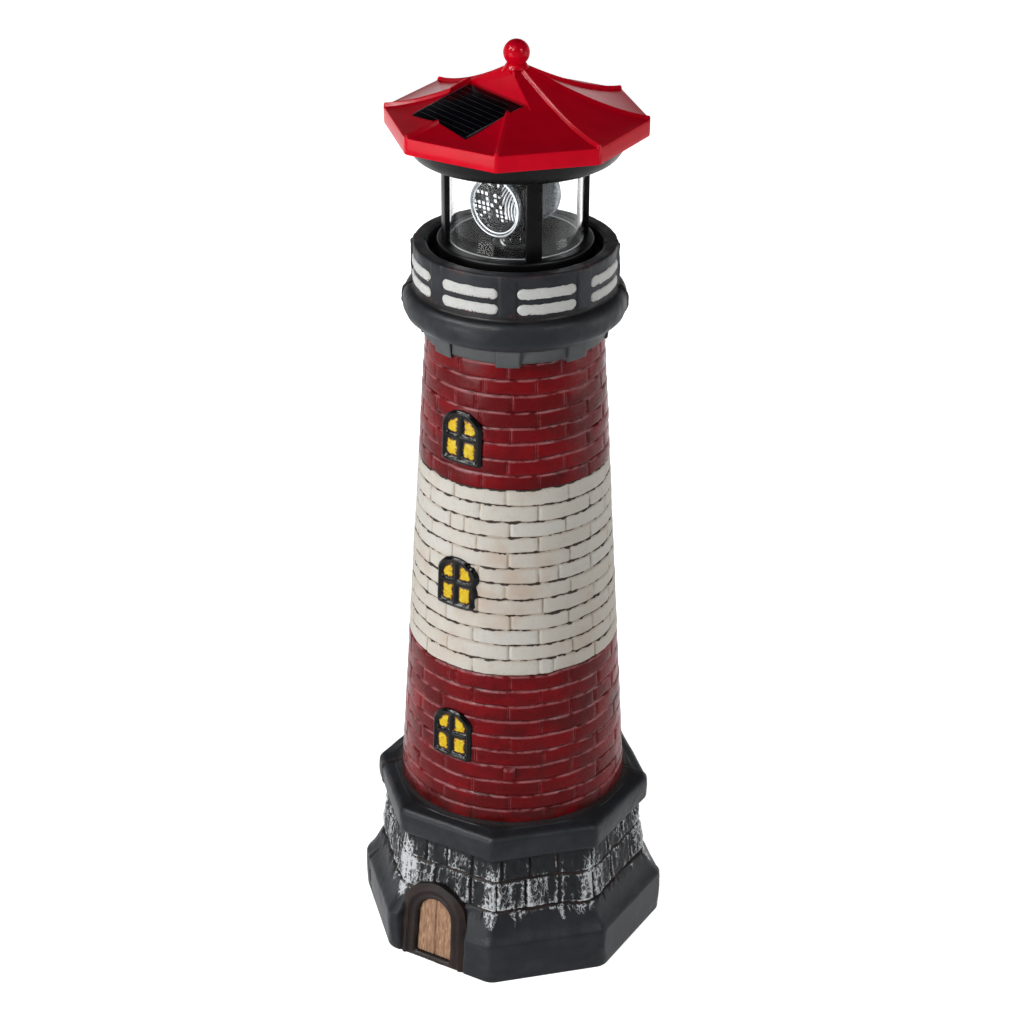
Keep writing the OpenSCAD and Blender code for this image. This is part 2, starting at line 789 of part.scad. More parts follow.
module base_plate() {
    bowl_r = glass_r - glass_wall - 0.6;
    color("#141414") difference() {
        union() {
            rotate_extrude() polygon([
                [0, z_under], [hub_r + 4, z_under], [bowl_r - 14, z_under + 1.6],
                [bowl_r - 6, z_ledge + 5], [bowl_r + 0.6, z_plate - glass_seat - skin],
                [plate_r - skin, z_plate - skin - 0.4], [plate_r - skin, z_ledge],
                [flange_r, z_ledge], [flange_r, z_ledge + flange_h - 0.8],
                [flange_r - 0.8, z_ledge + flange_h], [plate_r + 0.9, z_ledge + flange_h],
                [plate_r, z_ledge + flange_h + 0.9], [plate_r, z_plate - 1.6],
                [plate_r - 0.5, z_plate - 0.5], [plate_r - 1.6, z_plate],
                [bowl_r + 0.2, z_plate], [bowl_r, z_plate - 0.6],
                [bowl_r - 5, z_ledge + 7.4], [bowl_r - 13, z_ledge + 3], [hub_r + 3, z_bowl],
                [0, z_bowl]
            ]);
            around(base_screws) translate([base_screw_ring, 0, z_ledge - boss_drop])
                cylinder(r = boss_r, h = plate_h + boss_drop - skin);
            for (g = [first_at, second_at]) translate([g[0], g[1], g[2]])
                cylinder(r = 2.4 * pin_r, h = z_under - g[2] + 0.4);
            translate([0, 0, z_output + wheel_t + gear_gap + 0.2])
                cylinder(r = shaft_r + 2.4, h = z_under - z_output - wheel_t - gear_gap + 0.2);
        }
        glass_groove(z_plate - glass_seat, z_plate + over);
        around([45, 135, 225, 315]) tenon_hole(z_plate - skin - over, skin + 2 * over);
        translate([0, 0, z_output]) cylinder(r = shaft_r + run_fit, h = z_plate - z_output);
        around(base_screws) translate([base_screw_ring, 0, z_ledge - boss_drop - over])
            cylinder(r = screw_r + thread_gap, h = 2 * screw_bite + blind_room + over);
        for (g = [first_at, second_at]) translate([g[0], g[1], g[2] - over])
            cylinder(r = pin_r + snug, h = z_under - g[2] + over);
        for (s = [-1, 1]) translate([s * ring_track(s), 0, z_under - over])
            cylinder(r = brush_r + snug, h = skin + 2 * over);
    }
}

// ---------------------------------------------------------------- turning beam

brush_r = 1;
track_w = 2.6;
function ring_track(s) = hub_r - 3.4 + s * 2;

module on_beam(side) {
    translate([0, 0, z_beam]) rotate([0, 0, beam_turn + (side > 0 ? 0 : 180)]) children();
}

module hub() {
    color("#1b1b1c") difference() {
        rotate_extrude() polygon([
            [0, z_hub], [hub_r, z_hub], [hub_r, z_hub_top - 0.8],
            [hub_r - 0.8, z_hub_top], [0, z_hub_top]
        ]);
        translate([0, 0, z_hub - over]) cylinder(r = shaft_r + snug, h = hub_h);
        for (s = [-1, 1]) translate([0, 0, z_hub - over]) difference() {
            cylinder(r = ring_track(s) + track_w / 2, h = over + 0.8);
            translate([0, 0, -over]) cylinder(r = ring_track(s) - track_w / 2, h = 3 * over);
        }
    }
}

module slip_rings() {
    color("#c9a24a") for (s = [-1, 1]) translate([0, 0, z_hub]) difference() {
        cylinder(r = ring_track(s) + track_w / 2 - snug, h = 0.8);
        translate([0, 0, -over]) cylinder(r = ring_track(s) - track_w / 2 + snug, h = 3 * over);
    }
}

module brush_contacts() {
    color("#b5883a") for (s = [-1, 1]) translate([s * ring_track(s), 0, z_under - 1.4])
        cylinder(r = brush_r, h = z_hub - z_under + 1.4 - snug);
}

module crown_outline() {
    difference() {
        circle(crown_r);
        circle(crown_r - 1.6);
    }
}

module crown_ring() {
    step = 360 / crown_teeth;
    color("#e6edf0", 0.5) translate([0, 0, z_hub_top]) {
        linear_extrude(crown_h * 0.45) crown_outline();
        linear_extrude(crown_h) difference() {
            crown_outline();
            for (i = [0:crown_teeth - 1]) rotate(i * step)
                translate([crown_r - 3, -crown_r * 0.13]) square([4, crown_r * 0.26]);
        }
    }
}

mirror_neck_r = led_r + 2.4;
mirror_deep = beam_out - carrier_t / 2;

// Half section of the reflector, lying along x: a bowl that opens from its neck to its rim
function mirror_curve(shift) = [for (i = [0:8])
    let (t = i / 8)
    [led_r + 0.3 + (rim_r - lens_ledge - mirror_wall - led_r - 0.3) * sqrt(t) + shift,
     carrier_t / 2 + 2.4 + (mirror_deep - 2.4 - mirror_rim_t) * t]];

module reflector(side) {
    color("#d7dadc") on_beam(side) rotate([0, 90, 0]) difference() {
        rotate_extrude() polygon(concat(
            [[led_r + snug, carrier_t / 2], [mirror_neck_r, carrier_t / 2],
             [mirror_neck_r, carrier_t / 2 + 2.4]],
            [for (i = [2:8]) mirror_curve(mirror_wall)[i]],
            [[rim_r - 0.6, beam_out - mirror_rim_t + 0.4], [rim_r, beam_out - mirror_rim_t + 1],
             [rim_r, beam_out - 0.5], [rim_r - 0.5, beam_out],
             [rim_r - lens_ledge * 0.5, beam_out],
             [rim_r - lens_ledge * 0.5, beam_out - lens_t - 0.2],
             [rim_r - lens_ledge - mirror_wall, beam_out - lens_t - 0.2]],
            [for (i = [8:-1:1]) mirror_curve(0)[i]],
            [[led_r + snug, carrier_t / 2 + 3.2]]
        ));
    }
}

module lens(side) {
    color("#e9f1f4", 0.35) on_beam(side) translate([beam_out - lens_t - 0.2, 0, 0])
        rotate([0, 90, 0]) cylinder(r = rim_r - lens_ledge * 0.5 - snug, h = lens_t);
}

led_seat = 2.6;

module led(side) {
    color("#f2f4e8", 0.7) on_beam(side) rotate([0, 90, 0]) union() {
        translate([0, 0, carrier_t / 2 - led_seat]) cylinder(r = led_r + 0.4, h = 1);
        translate([0, 0, carrier_t / 2 - led_seat]) cylinder(r = led_r, h = 8);
        translate([0, 0, carrier_t / 2 - led_seat + 8]) sphere(led_r);
    }
}

module reflector_front() reflector(1);
module reflector_rear() reflector(-1);
module lens_front() lens(1);
module lens_rear() lens(-1);
module led_front() led(1);
module led_rear() led(-1);

module rotor_carrier() {
    neck = crown_r - 3.4;
    color("#202021") difference() {
        union() {
            translate([0, 0, z_hub_top]) cylinder(r = neck, h = z_beam - z_hub_top - carrier_w / 2 + 1);
            on_beam(1) translate([-carrier_t / 2, -carrier_w / 2, -carrier_w / 2])
                cube([carrier_t, carrier_w, carrier_w]);
        }
        for (side = [-1, 1]) on_beam(side) rotate([0, 90, 0]) {
            translate([0, 0, carrier_t / 2 - led_seat]) cylinder(r = led_r + 0.45, h = led_seat + over);
        }
    }
}

module output_shaft() {
    color("#b9bcc0") translate([0, 0, z_gearbox - 1.5])
        cylinder(r = shaft_r, h = z_hub + hub_h - over - z_gearbox + 1.5 - snug);
}

// ---------------------------------------------------------------- gear train

// The spaces between gear levels
gear_gap = 0.9;
z_first = z_gears + gear_gap;
z_second = z_first + wheel_t + gear_gap;
z_output = z_second + wheel_t + gear_gap;
pinion_reach = gear_gap + wheel_t + 0.3;

mesh_far = (wheel_teeth + pinion_teeth) * gear_m / 2;
mesh_out = (out_teeth + pinion_teeth) * gear_m / 2;
second_dir = 60;
first_dir = 150;
motor_dir = 80;
second_xy = mesh_out * [cos(second_dir), sin(second_dir)];
first_xy = second_xy + mesh_far * [cos(first_dir), sin(first_dir)];
motor_xy = first_xy + mesh_far * [cos(motor_dir), sin(motor_dir)];
first_at = [first_xy[0], first_xy[1], z_second + wheel_t + gear_gap];
second_at = [second_xy[0], second_xy[1], z_output + wheel_t + gear_gap];

// Gear outline with straight-sided teeth; the first tooth points along +X
module gear_outline(teeth) {
    r = teeth * gear_m / 2;
    pitch = 360 / teeth;
    polygon([for (i = [0:teeth - 1], p = [0:3])
        let (a = i * pitch + pitch * [-0.27, -0.1, 0.1, 0.27][p],
             q = r + gear_m * [-1.15, 0.8, 0.8, -1.15][p])
        [q * cos(a), q * sin(a)]]);
}

// Wheel below and pinion above on one bore; each is turned so that it meets its mate
module compound_gear(xy, z, wheel_turn, pinion_turn) {
    color("#e8e6dc") translate([xy[0], xy[1], z]) difference() {
        union() {
            rotate([0, 0, wheel_turn]) linear_extrude(wheel_t) gear_outline(wheel_teeth);
            translate([0, 0, wheel_t - eps]) rotate([0, 0, pinion_turn])
                linear_extrude(pinion_reach + eps) gear_outline(pinion_teeth);
        }
        translate([0, 0, -over]) cylinder(r = pin_r + run_fit, h = 2 * wheel_t + pinion_reach + 2 * over);
    }
}

module output_gear() {
    color("#e8e6dc") translate([0, 0, z_output]) difference() {
        union() {
            rotate([0, 0, second_dir]) linear_extrude(wheel_t) gear_outline(out_teeth);
            translate([0, 0, wheel_t - eps]) cylinder(r = shaft_r + 2, h = gear_gap);
        }
        translate([0, 0, -over]) cylinder(r = shaft_r + snug, h = 2 * wheel_t + 2 * over);
    }
}

module second_gear() {
    compound_gear(second_xy, z_second, first_dir, second_dir + 180 + 180 / pinion_teeth);
}

module first_gear() {
    compound_gear(first_xy, z_first, motor_dir, first_dir + 180 + 180 / pinion_teeth);
}

module motor_pinion() {
    color("#c9a24a") translate([motor_xy[0], motor_xy[1], z_first - 0.3]) difference() {
        rotate([0, 0, motor_dir + 180 + 180 / pinion_teeth]) linear_extrude(wheel_t + 0.8)
            gear_outline(pinion_teeth);
        translate([0, 0, -over]) cylinder(r = motor_shaft_r + 0.02, h = wheel_t + 3);
    }
}

module motor_shaft() {
    color("#b9bcc0") translate([motor_xy[0], motor_xy[1], z_gearbox - 4])
        cylinder(r = motor_shaft_r, h = z_first + wheel_t - z_gearbox + 4.4);
}

module motor_can() {
    tall = gearbox_lift;
    color("#a9adb1") translate([motor_xy[0], motor_xy[1], z_house_in]) difference() {
        union() {
            cylinder(r = motor_r, h = tall);
            translate([0, 0, tall - eps]) cylinder(r = motor_shaft_r + 1.4, h = 1);
        }
        translate([0, 0, tall - 5]) cylinder(r = motor_shaft_r + run_fit, h = 7);
    }
}

module gear_pins() {
    color("#b9bcc0") for (g = [[first_xy, first_at], [second_xy, second_at]])
        translate([g[0][0], g[0][1], z_gearbox]) cylinder(r = pin_r, h = z_under - z_gearbox - 0.3);
}

pillar_angles = [12, 160, 215];
pillar_ring = housing_r - housing_wall - 6;

module gearbox_plate() {
    color("#2a2a2c") translate([0, 0, z_gearbox]) difference() {
        union() {
            cylinder(r = housing_r - housing_wall - 1.2, h = gearbox_t);
            translate([first_xy[0], first_xy[1], 0])
                cylinder(r = 2 * pin_r, h = z_first - z_gearbox - 0.1);
            translate([second_xy[0], second_xy[1], 0])
                cylinder(r = pin_r + 0.55, h = z_second - z_gearbox - 0.1);
            cylinder(r = shaft_r + 1.6, h = z_output - z_gearbox - 0.1);
            for (x = [-1, 1]) translate([x * (pcb_w / 2 - 3), -cell_y - cell_pitch / 2, 0])
                cylinder(r = 2, h = gearbox_t + pcb_stand);
        }
        translate([0, 0, -over]) cylinder(r = shaft_r + run_fit, h = z_output - z_gearbox + over);
        for (g = [first_xy, second_xy]) translate([g[0], g[1], -over])
            cylinder(r = pin_r + snug, h = z_second - z_gearbox + over);
        translate([motor_xy[0], motor_xy[1], -over])
            cylinder(r = motor_shaft_r + 1.8, h = gearbox_t + 2 * over);
        around(base_screws) translate([base_screw_ring, 0, -over])
            cylinder(r = boss_r + 0.5, h = gearbox_t + 2 * over);
        around(pillar_angles) translate([pillar_ring, 0, -over])
            cylinder(r = screw_r + thread_gap, h = gearbox_t + 2 * over);
    }
}

module gearbox_screws() {
    color("#9a9da0") around(pillar_angles) translate([pillar_ring, 0, z_gears]) {
        cylinder(r = screw_head_r, h = screw_head_h);
        translate([0, 0, -gearbox_t - screw_bite]) cylinder(r = screw_r, h = gearbox_t + screw_bite + eps);
    }
}

// ---------------------------------------------------------------- housing and power

pcb_stand = 3;
contact_t = 0.5;
tab_w = 8;
tab_l = 6;
door_screw_r = 1.2;
door_mid = -cell_y - cell_pitch / 2;
door_tab_y = door_mid + door_plate_d / 2 + tab_l / 2;
switch_xy = [30, -2];

module door_outline(gap) {
    translate([-door_plate_w / 2 - gap, door_mid - door_plate_d / 2 - gap])
        square([door_plate_w + 2 * gap, door_plate_d + 2 * gap]);
    translate([-tab_w / 2 - gap, door_mid + door_plate_d / 2 - over])
        square([tab_w + 2 * gap, tab_l + over + gap]);
}

module mechanism_housing() {
    rib_in = cell_l / 2 + contact_t;
    color("#1d1d1e") difference() {
        union() {
            difference() {
                translate([0, 0, z_house]) cylinder(r = housing_r, h = housing_h);
                translate([0, 0, z_house_in])
                    cylinder(r = housing_r - housing_wall, h = housing_h);
                translate([0, 0, z_house - over]) linear_extrude(housing_floor + 2 * over)
                    door_outline(door_gap);
            }
            around(base_screws) translate([base_screw_ring, 0, z_house])
                cylinder(r = boss_r, h = housing_h - boss_drop - eps);
            around(pillar_angles) translate([pillar_ring, 0, z_house])
                cylinder(r = boss_r - 0.6, h = gearbox_lift + housing_floor);
            translate([-tab_w / 2 - 3, door_tab_y - 3, z_house_in])
                cube([tab_w + 6, 7, 5]);
            for (s = [-1, 1]) translate([s * (rib_in + 1.9) - 1.9, door_mid - cell_pitch, z_house_in])
                cube([3.8, 2 * cell_pitch, 2 * cell_r]);
            for (s = [-1, 1]) translate([s * (rib_in + 2.8) - 1, door_mid - cell_pitch, z_house_in - 0.5])
                cube([2, 2 * cell_pitch, 3]);
        }
        around(base_screws) translate([base_screw_ring, 0, z_house - over])
            cylinder(r = screw_head_r + 0.3, h = screw_seat + over);
        around(base_screws) translate([base_screw_ring, 0, z_house])
            cylinder(r = screw_r + thread_gap, h = housing_h);
        around(pillar_angles) translate([pillar_ring, 0, z_gearbox - screw_bite - blind_room])
            cylinder(r = screw_r + thread_gap, h = screw_bite + blind_room + over);
        translate([0, door_tab_y, z_house]) cylinder(r = door_screw_r + run_fit, h = housing_floor + 4);
        translate([switch_xy[0] - knob_travel / 2 - knob_w / 2 - 0.3, switch_xy[1] - knob_w / 2 - 0.3,
                   z_house - over])
            cube([knob_travel + knob_w + 0.6, knob_w + 0.6, housing_floor + 2 * over]);
    }
}

module housing_screws() {
    color("#9a9da0") around(base_screws) translate([base_screw_ring, 0, z_house + screw_seat]) {
        translate([0, 0, -screw_head_h]) cylinder(r = screw_head_r, h = screw_head_h);
        translate([0, 0, -eps])
            cylinder(r = screw_r, h = housing_h - boss_drop - screw_seat + 2 * screw_bite);
    }
}

module roof_screws() {
    color("#9a9da0") around([0, 90, 180, 270]) translate([roof_screw_ring, 0, z_dish + 0.8]) {
        translate([0, 0, -screw_head_h]) cylinder(r = screw_head_r, h = screw_head_h);
        translate([0, 0, -eps]) cylinder(r = screw_r, h = 2 * screw_bite);
    }
}

module battery(y) {
    button = 1;
    translate([0, -y, z_house_in + 0.4 + cell_r]) rotate([0, 90, 0]) {
        translate([0, 0, -cell_l / 2]) cylinder(r = cell_r, h = cell_l - button);
        translate([0, 0, cell_l / 2 - button - eps]) cylinder(r = 1.9, h = button + eps);
    }
}

module battery_inner() color("#3d7a4a") battery(cell_y);
module battery_outer() color("#3d7a4a") mirror([1, 0, 0]) battery(cell_y + cell_pitch);

module battery_contacts() {
    color("#c9ccd0") for (s = [-1, 1], k = [0, 1])
        translate([s * (cell_l / 2 + contact_t / 2) - contact_t / 2,
                   -cell_y - k * cell_pitch - cell_r * 0.85, z_house_in + 0.4])
            cube([contact_t, 1.7 * cell_r, 2 * cell_r - 1]);
}

module battery_door() {
    color("#232324") difference() {
        translate([0, 0, z_house]) linear_extrude(housing_floor) door_outline(0);
        translate([0, door_tab_y, z_house - over])
            cylinder(r = door_screw_r + snug, h = housing_floor + 2 * over);
        translate([0, door_tab_y, z_house - over]) cylinder(r = 2.6, h = over + 1);
    }
}

module door_screw() {
    color("#9a9da0") translate([0, door_tab_y, z_house]) {
        cylinder(r = 2.5, h = 1);
        translate([0, 0, 1 - eps]) cylinder(r = door_screw_r, h = 4.5);
    }
}

module circuit_board() {
    color("#2f6b3c") translate([0, door_mid, z_gears + pcb_stand]) {
        translate([-pcb_w / 2, -pcb_d / 2, 0]) cube([pcb_w, pcb_d, pcb_t]);
        translate([-pcb_w / 2 + 6, -4, pcb_t - eps]) cube([8, 5, 1.4]);
        translate([4, -5, pcb_t - eps]) cube([5, 4, 1.2]);
        translate([13, 3, pcb_t - eps]) cylinder(r = 2.5, h = 5);
    }
}

module switch_body() {
    color("#3a3a3c") translate([switch_xy[0], switch_xy[1], z_house_in]) difference() {
        translate([-switch_l / 2, -switch_w / 2, 0]) cube([switch_l, switch_w, switch_h]);
        translate([-(knob_w + knob_travel + 2.6) / 2, -knob_w / 2 - 0.6, -over])
            cube([knob_w + knob_travel + 2.6, knob_w + 1.2, over + 1.8]);
    }
}

module switch_slider() {
    color("#d8d8d4") translate([switch_xy[0] - knob_travel / 2, switch_xy[1], z_house_in]) {
        translate([-knob_w / 2, -knob_w / 2, -housing_floor - 1.2])
            cube([knob_w, knob_w, housing_floor + 1.4]);
        translate([-knob_w / 2 - 1, -knob_w / 2 - 0.4, 0.15]) cube([knob_w + 2, knob_w + 0.8, 1.3]);
    }
}

// ---------------------------------------------------------------- leads

module lead_run(a, b) {
    v = b - a;
    l = norm(v);
    translate(a) rotate([0, acos(v[2] / l), atan2(v[1], v[0])]) cylinder(r = lead_r, h = l);
    translate(b) sphere(lead_r * 1.12);
}

module panel_leads() {
    side = lead_r + 0.1;
    up = post_mid * [cos(135), sin(135)];
    panel = (panel_out - 12 * cos(panel_slope)) * [cos(corner_angle(-3)), sin(corner_angle(-3))];
    face = z_eave + panel_rise + 12 * sin(panel_slope) - cell_t - board_t;
    color("#a01818") for (s = [-1, 1]) {
        off = s * side * [cos(45), sin(45)];
        pts = [
            [-pcb_w / 2 + 3 + s * side, door_mid + pcb_d / 2 - 3, z_gears + pcb_stand + pcb_t],
            [-pcb_w / 2 + 3 + s * side, door_mid + pcb_d / 2 - 3, z_gears + pcb_stand + pcb_t + 3],
            [-30 + off[0], up[1] * 0.4 + off[1], z_second + 3],
            [up[0] + off[0], up[1] + off[1], z_ledge],
            [up[0] + off[0], up[1] + off[1], z_dish + skin + 4],
            [panel[0] + s * side, panel[1], z_rim + 2],
            [panel[0] + s * side, panel[1], face - 1.4 * lead_r]
        ];
        for (i = [0:len(pts) - 2]) lead_run(pts[i], pts[i + 1]);
    }
}

tower_shell();
roof_shell();
finial_ball();
solar_board();
solar_cell();
under_dish();
post_front_right();
post_back_right();
post_back_left();
post_front_left();
glass_tube();
base_plate();
mechanism_housing();
gearbox_plate();
gear_pins();
motor_can();
circuit_board();
battery_inner();
battery_outer();
battery_contacts();
battery_door();
door_screw();
switch_body();
switch_slider();
roof_screws();
housing_screws();
gearbox_screws();
panel_leads();
brush_contacts();
hub();
crown_ring();
rotor_carrier();
reflector_front();
reflector_rear();
lens_front();
lens_rear();
led_front();
led_rear();
output_shaft();
output_gear();
slip_rings();
second_gear();
first_gear();
motor_shaft();
motor_pinion();
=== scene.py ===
"""Looks of a garden lighthouse ornament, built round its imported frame.

A cast and painted tower stands on an octagonal stone-look plinth. A solar lamp head with a turning
pair of reflectors lifts out of its gallery. Sizes are in millimetres here; Blender gets metres.
Azimuths are in degrees round +Z, counted from +X, and the door faces -Y.
"""

import logging
import math
from collections.abc import Callable, Sequence
from dataclasses import dataclass
from enum import Enum

import bmesh
import bpy
import numpy as np
from mathutils import Matrix, Vector


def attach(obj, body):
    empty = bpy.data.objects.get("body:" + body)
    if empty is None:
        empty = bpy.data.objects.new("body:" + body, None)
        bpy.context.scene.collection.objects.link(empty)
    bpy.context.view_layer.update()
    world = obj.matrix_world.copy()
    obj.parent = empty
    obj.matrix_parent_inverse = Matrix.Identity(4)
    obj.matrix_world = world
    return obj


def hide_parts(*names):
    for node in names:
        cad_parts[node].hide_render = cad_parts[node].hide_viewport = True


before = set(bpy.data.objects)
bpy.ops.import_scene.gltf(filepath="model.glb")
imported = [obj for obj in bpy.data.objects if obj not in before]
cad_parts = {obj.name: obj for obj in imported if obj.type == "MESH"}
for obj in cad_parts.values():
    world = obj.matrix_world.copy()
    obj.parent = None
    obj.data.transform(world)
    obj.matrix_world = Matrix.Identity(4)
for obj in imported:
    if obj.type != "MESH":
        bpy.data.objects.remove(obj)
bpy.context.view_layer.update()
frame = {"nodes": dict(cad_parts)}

log = logging.getLogger("lighthouse")

MM = 0.001
SIDES = 8
SIDE = 360 / SIDES
HALF_SIDE = SIDE / 2
FRONT = -59.4  # azimuth of the side that the camera sees head-on

Array = np.ndarray
Piece = bpy.types.Object
Tree = bpy.types.NodeTree
Socket = bpy.types.NodeSocket
Colour = tuple[float, float, float, float]
Coat = tuple[Socket, str, float]
Place = Callable[[Array, Array, Array], Array]
Outline = list[tuple[float, float]]
Corners = list[tuple[float, float, float]]


# ---------------------------------------------------------------- colour and shader nodes


def srgb(code: str) -> Colour:
    """Linear colour with an alpha of 1, for a colour written as sRGB hex such as "#8B1A1E"."""
    parts = [int(code[i : i + 2], 16) / 255 for i in (1, 3, 5)]
    linear = [c / 12.92 if c <= 0.04045 else ((c + 0.055) / 1.055) ** 2.4 for c in parts]
    return (*linear, 1.0)


def add_node(tree: Tree, kind: str, inputs: dict | None = None, **settings) -> bpy.types.Node:
    """Adds one shader node with its settings and with what feeds its sockets.

    Args:
        tree: node tree that gets the node.
        kind: Blender's type name of the node.
        inputs: for a socket's name or index, a value or the output socket that feeds it.
        settings: the node's own properties.

    Returns:
        The new node.
    """
    node = tree.nodes.new(kind)
    for key, value in settings.items():
        setattr(node, key, value)
    for key, value in (inputs or {}).items():
        if isinstance(value, Socket):
            tree.links.new(value, node.inputs[key])
        else:
            node.inputs[key].default_value = value
    return node


def patches(
    tree: Tree, size: float, start: float, full: float, stretch: Sequence[float] = (1, 1, 1), detail: int = 3
) -> Socket:
    """Irregular patches that follow the piece's own coordinates.

    Args:
        tree: node tree that gets the pattern.
        size: typical width of a patch in millimetres.
        start: noise level, from 0 to 1, at which the patch begins.
        full: noise level at which it is complete.
        stretch: how much longer a patch is along each axis.
        detail: octaves of finer edge.

    Returns:
        Socket that runs from 0 outside the patches to 1 inside.
    """
    place = add_node(tree, "ShaderNodeTexCoord").outputs["Object"]
    scale = tuple(1 / (size * MM * s) for s in stretch)
    place = add_node(tree, "ShaderNodeMapping", {"Vector": place, "Scale": scale}).outputs[0]
    noise = add_node(tree, "ShaderNodeTexNoise", {"Vector": place, "Scale": 1.0, "Detail": detail})
    return level(tree, noise.outputs[0], start, full)


def level(tree: Tree, source: Socket, start: float, full: float) -> Socket:
    """Smooth step of a value.

    Args:
        tree: node tree that gets the step.
        source: the value.
        start: where the step is 0. It may lie above full, for a falling step.
        full: where the step is 1.

    Returns:
        Socket from 0 to 1.
    """
    low, high, at_low, at_high = (start, full, 0.0, 1.0) if start < full else (full, start, 1.0, 0.0)
    sockets = {0: source, 1: low, 2: high, 3: at_low, 4: at_high}
    return add_node(tree, "ShaderNodeMapRange", sockets, interpolation_type="SMOOTHSTEP").outputs[0]


def mark(tree: Tree, name: str) -> Socket:
    """Value that the mesh carries at each point under that name."""
    return add_node(tree, "ShaderNodeAttribute", attribute_name=name).outputs["Fac"]


def work(tree: Tree, operation: str, *values: Socket | float) -> Socket:
    """Result of one sum, product or other step, such as MULTIPLY, on one to three sockets or numbers."""
    return add_node(tree, "ShaderNodeMath", dict(enumerate(values)), operation=operation).outputs[0]


def lay_over(tree: Tree, ground: str, coats: Sequence[Coat]) -> Socket:
    """Lays coats of paint over a ground.

    Args:
        tree: node tree that gets the coats.
        ground: sRGB hex colour under the coats.
        coats: where each coat lies, its sRGB hex colour and its strength up to 1, the lowest first.

    Returns:
        Socket with the colour.
    """
    below = srgb(ground)
    for mask, code, strength in coats:
        share = mask if strength == 1 else work(tree, "MULTIPLY", mask, strength)
        sockets = {0: share, 6: below, 7: srgb(code)}
        below = add_node(tree, "ShaderNodeMix", sockets, data_type="RGBA").outputs[2]
    return below


# ---------------------------------------------------------------- finishes


@dataclass(frozen=True)
class Finish:
    """What every finish has: a name, and its Blender material, made when it is first asked for."""

    name: str

    def material(self) -> bpy.types.Material:
        """Blender material of this finish."""
        found = bpy.data.materials.get(self.name)
        if found:
            return found
        made = bpy.data.materials.new(self.name)
        made.use_nodes = True
        made.node_tree.nodes.clear()
        add_node(made.node_tree, "ShaderNodeOutputMaterial", {"Surface": self.shader(made.node_tree)})
        return made

    def shader(self, tree: Tree) -> Socket:
        """Output of the shader that makes the finish."""
        raise NotImplementedError

    def surface(
        self, tree: Tree, colour: Socket, rough: Socket | float, gloss: float = 0.5,
        grain: tuple[float, float, float] | None = None, ior: float = 1.5, metallic: Socket | float = 0.0,
    ) -> Socket:
        """Shader of a surface with a polish and a fine grain.

        Args:
            tree: node tree that gets the shader.
            colour: the surface's colour.
            rough: its roughness.
            gloss: strength of its shine.
            grain: width and depth of its grain in millimetres, and how strongly it shows.
            ior: index of refraction.
            metallic: share of bare metal.

        Returns:
            Output of the shader.
        """
        sockets = {"Base Color": colour, "Roughness": rough, "Specular IOR Level": gloss, "IOR": ior}
        sockets["Metallic"] = metallic
        if grain:
            size, depth, strength = grain
            noise = patches(tree, size, 0.2, 0.8, detail=2)
            bump = {"Strength": strength, "Distance": depth * MM, "Height": noise}
            sockets["Normal"] = add_node(tree, "ShaderNodeBump", bump).outputs[0]
        return add_node(tree, "ShaderNodeBsdfPrincipled", sockets).outputs[0]

    def cloudy(self, tree: Tree, mask: Socket, low: float, high: float) -> Socket:
        """Roughness that runs from low to high with a mask."""
        return add_node(tree, "ShaderNodeMapRange", {0: mask, 3: low, 4: high}).outputs[0]


@dataclass(frozen=True)
class BrushedRedEnamel(Finish):
    """Red enamel brushed on cast stone. It pools dark in the joints, and its brick edges carry a painted
    highlight.
    """

    name: str = "brushed_red_enamel"

    def shader(self, tree: Tree) -> Socket:
        """Deep red with brighter strokes, darker bricks, dark joints, and painted highlight and rub on the
        edges.
        """
        tone = mark(tree, "tone")
        broken = patches(tree, 9, 0.36, 0.58, (1, 1, 0.5))
        beside = work(tree, "ABSOLUTE", work(tree, "SUBTRACT", mark(tree, "side"), 0.75))
        flecks = work(tree, "MULTIPLY", patches(tree, 2.4, 0.74, 0.8), patches(tree, 30, 0.5, 0.62))
        coats = [
            (level(tree, tone, 0.2, 1.0), "#7D0A13", 0.4), (level(tree, tone, -0.2, -1.0), "#4F080C", 0.5),
            (patches(tree, 34, 0.42, 0.68, (1, 1, 0.55)), "#8E0814", 0.6),
            (patches(tree, 20, 0.55, 0.75), "#43090D", 0.6),
            (level(tree, mark(tree, "gap"), 0.7, 0.1), "#2C0507", 0.7),
            # Painted highlight: pale pink along the brick edges beside the upright joints
            (work(tree, "MULTIPLY", level(tree, beside, 0.42, 0.1), broken), "#985054", 0.6),
            # Pale upper brick edges: painted highlight, with some rubbed paint
            (work(tree, "MULTIPLY", mark(tree, "crest"), broken), "#C98084", 0.6),
            (work(tree, "MULTIPLY", mark(tree, "grime"), patches(tree, 14, 0.3, 0.6)), "#33100E", 0.8),
            (flecks, "#2A0D0B", 1),
        ]
        rough = self.cloudy(tree, patches(tree, 12, 0.3, 0.7), 0.2, 0.36)
        return self.surface(tree, lay_over(tree, "#66090F", coats), rough, 0.09, (2.6, 0.12, 0.6))


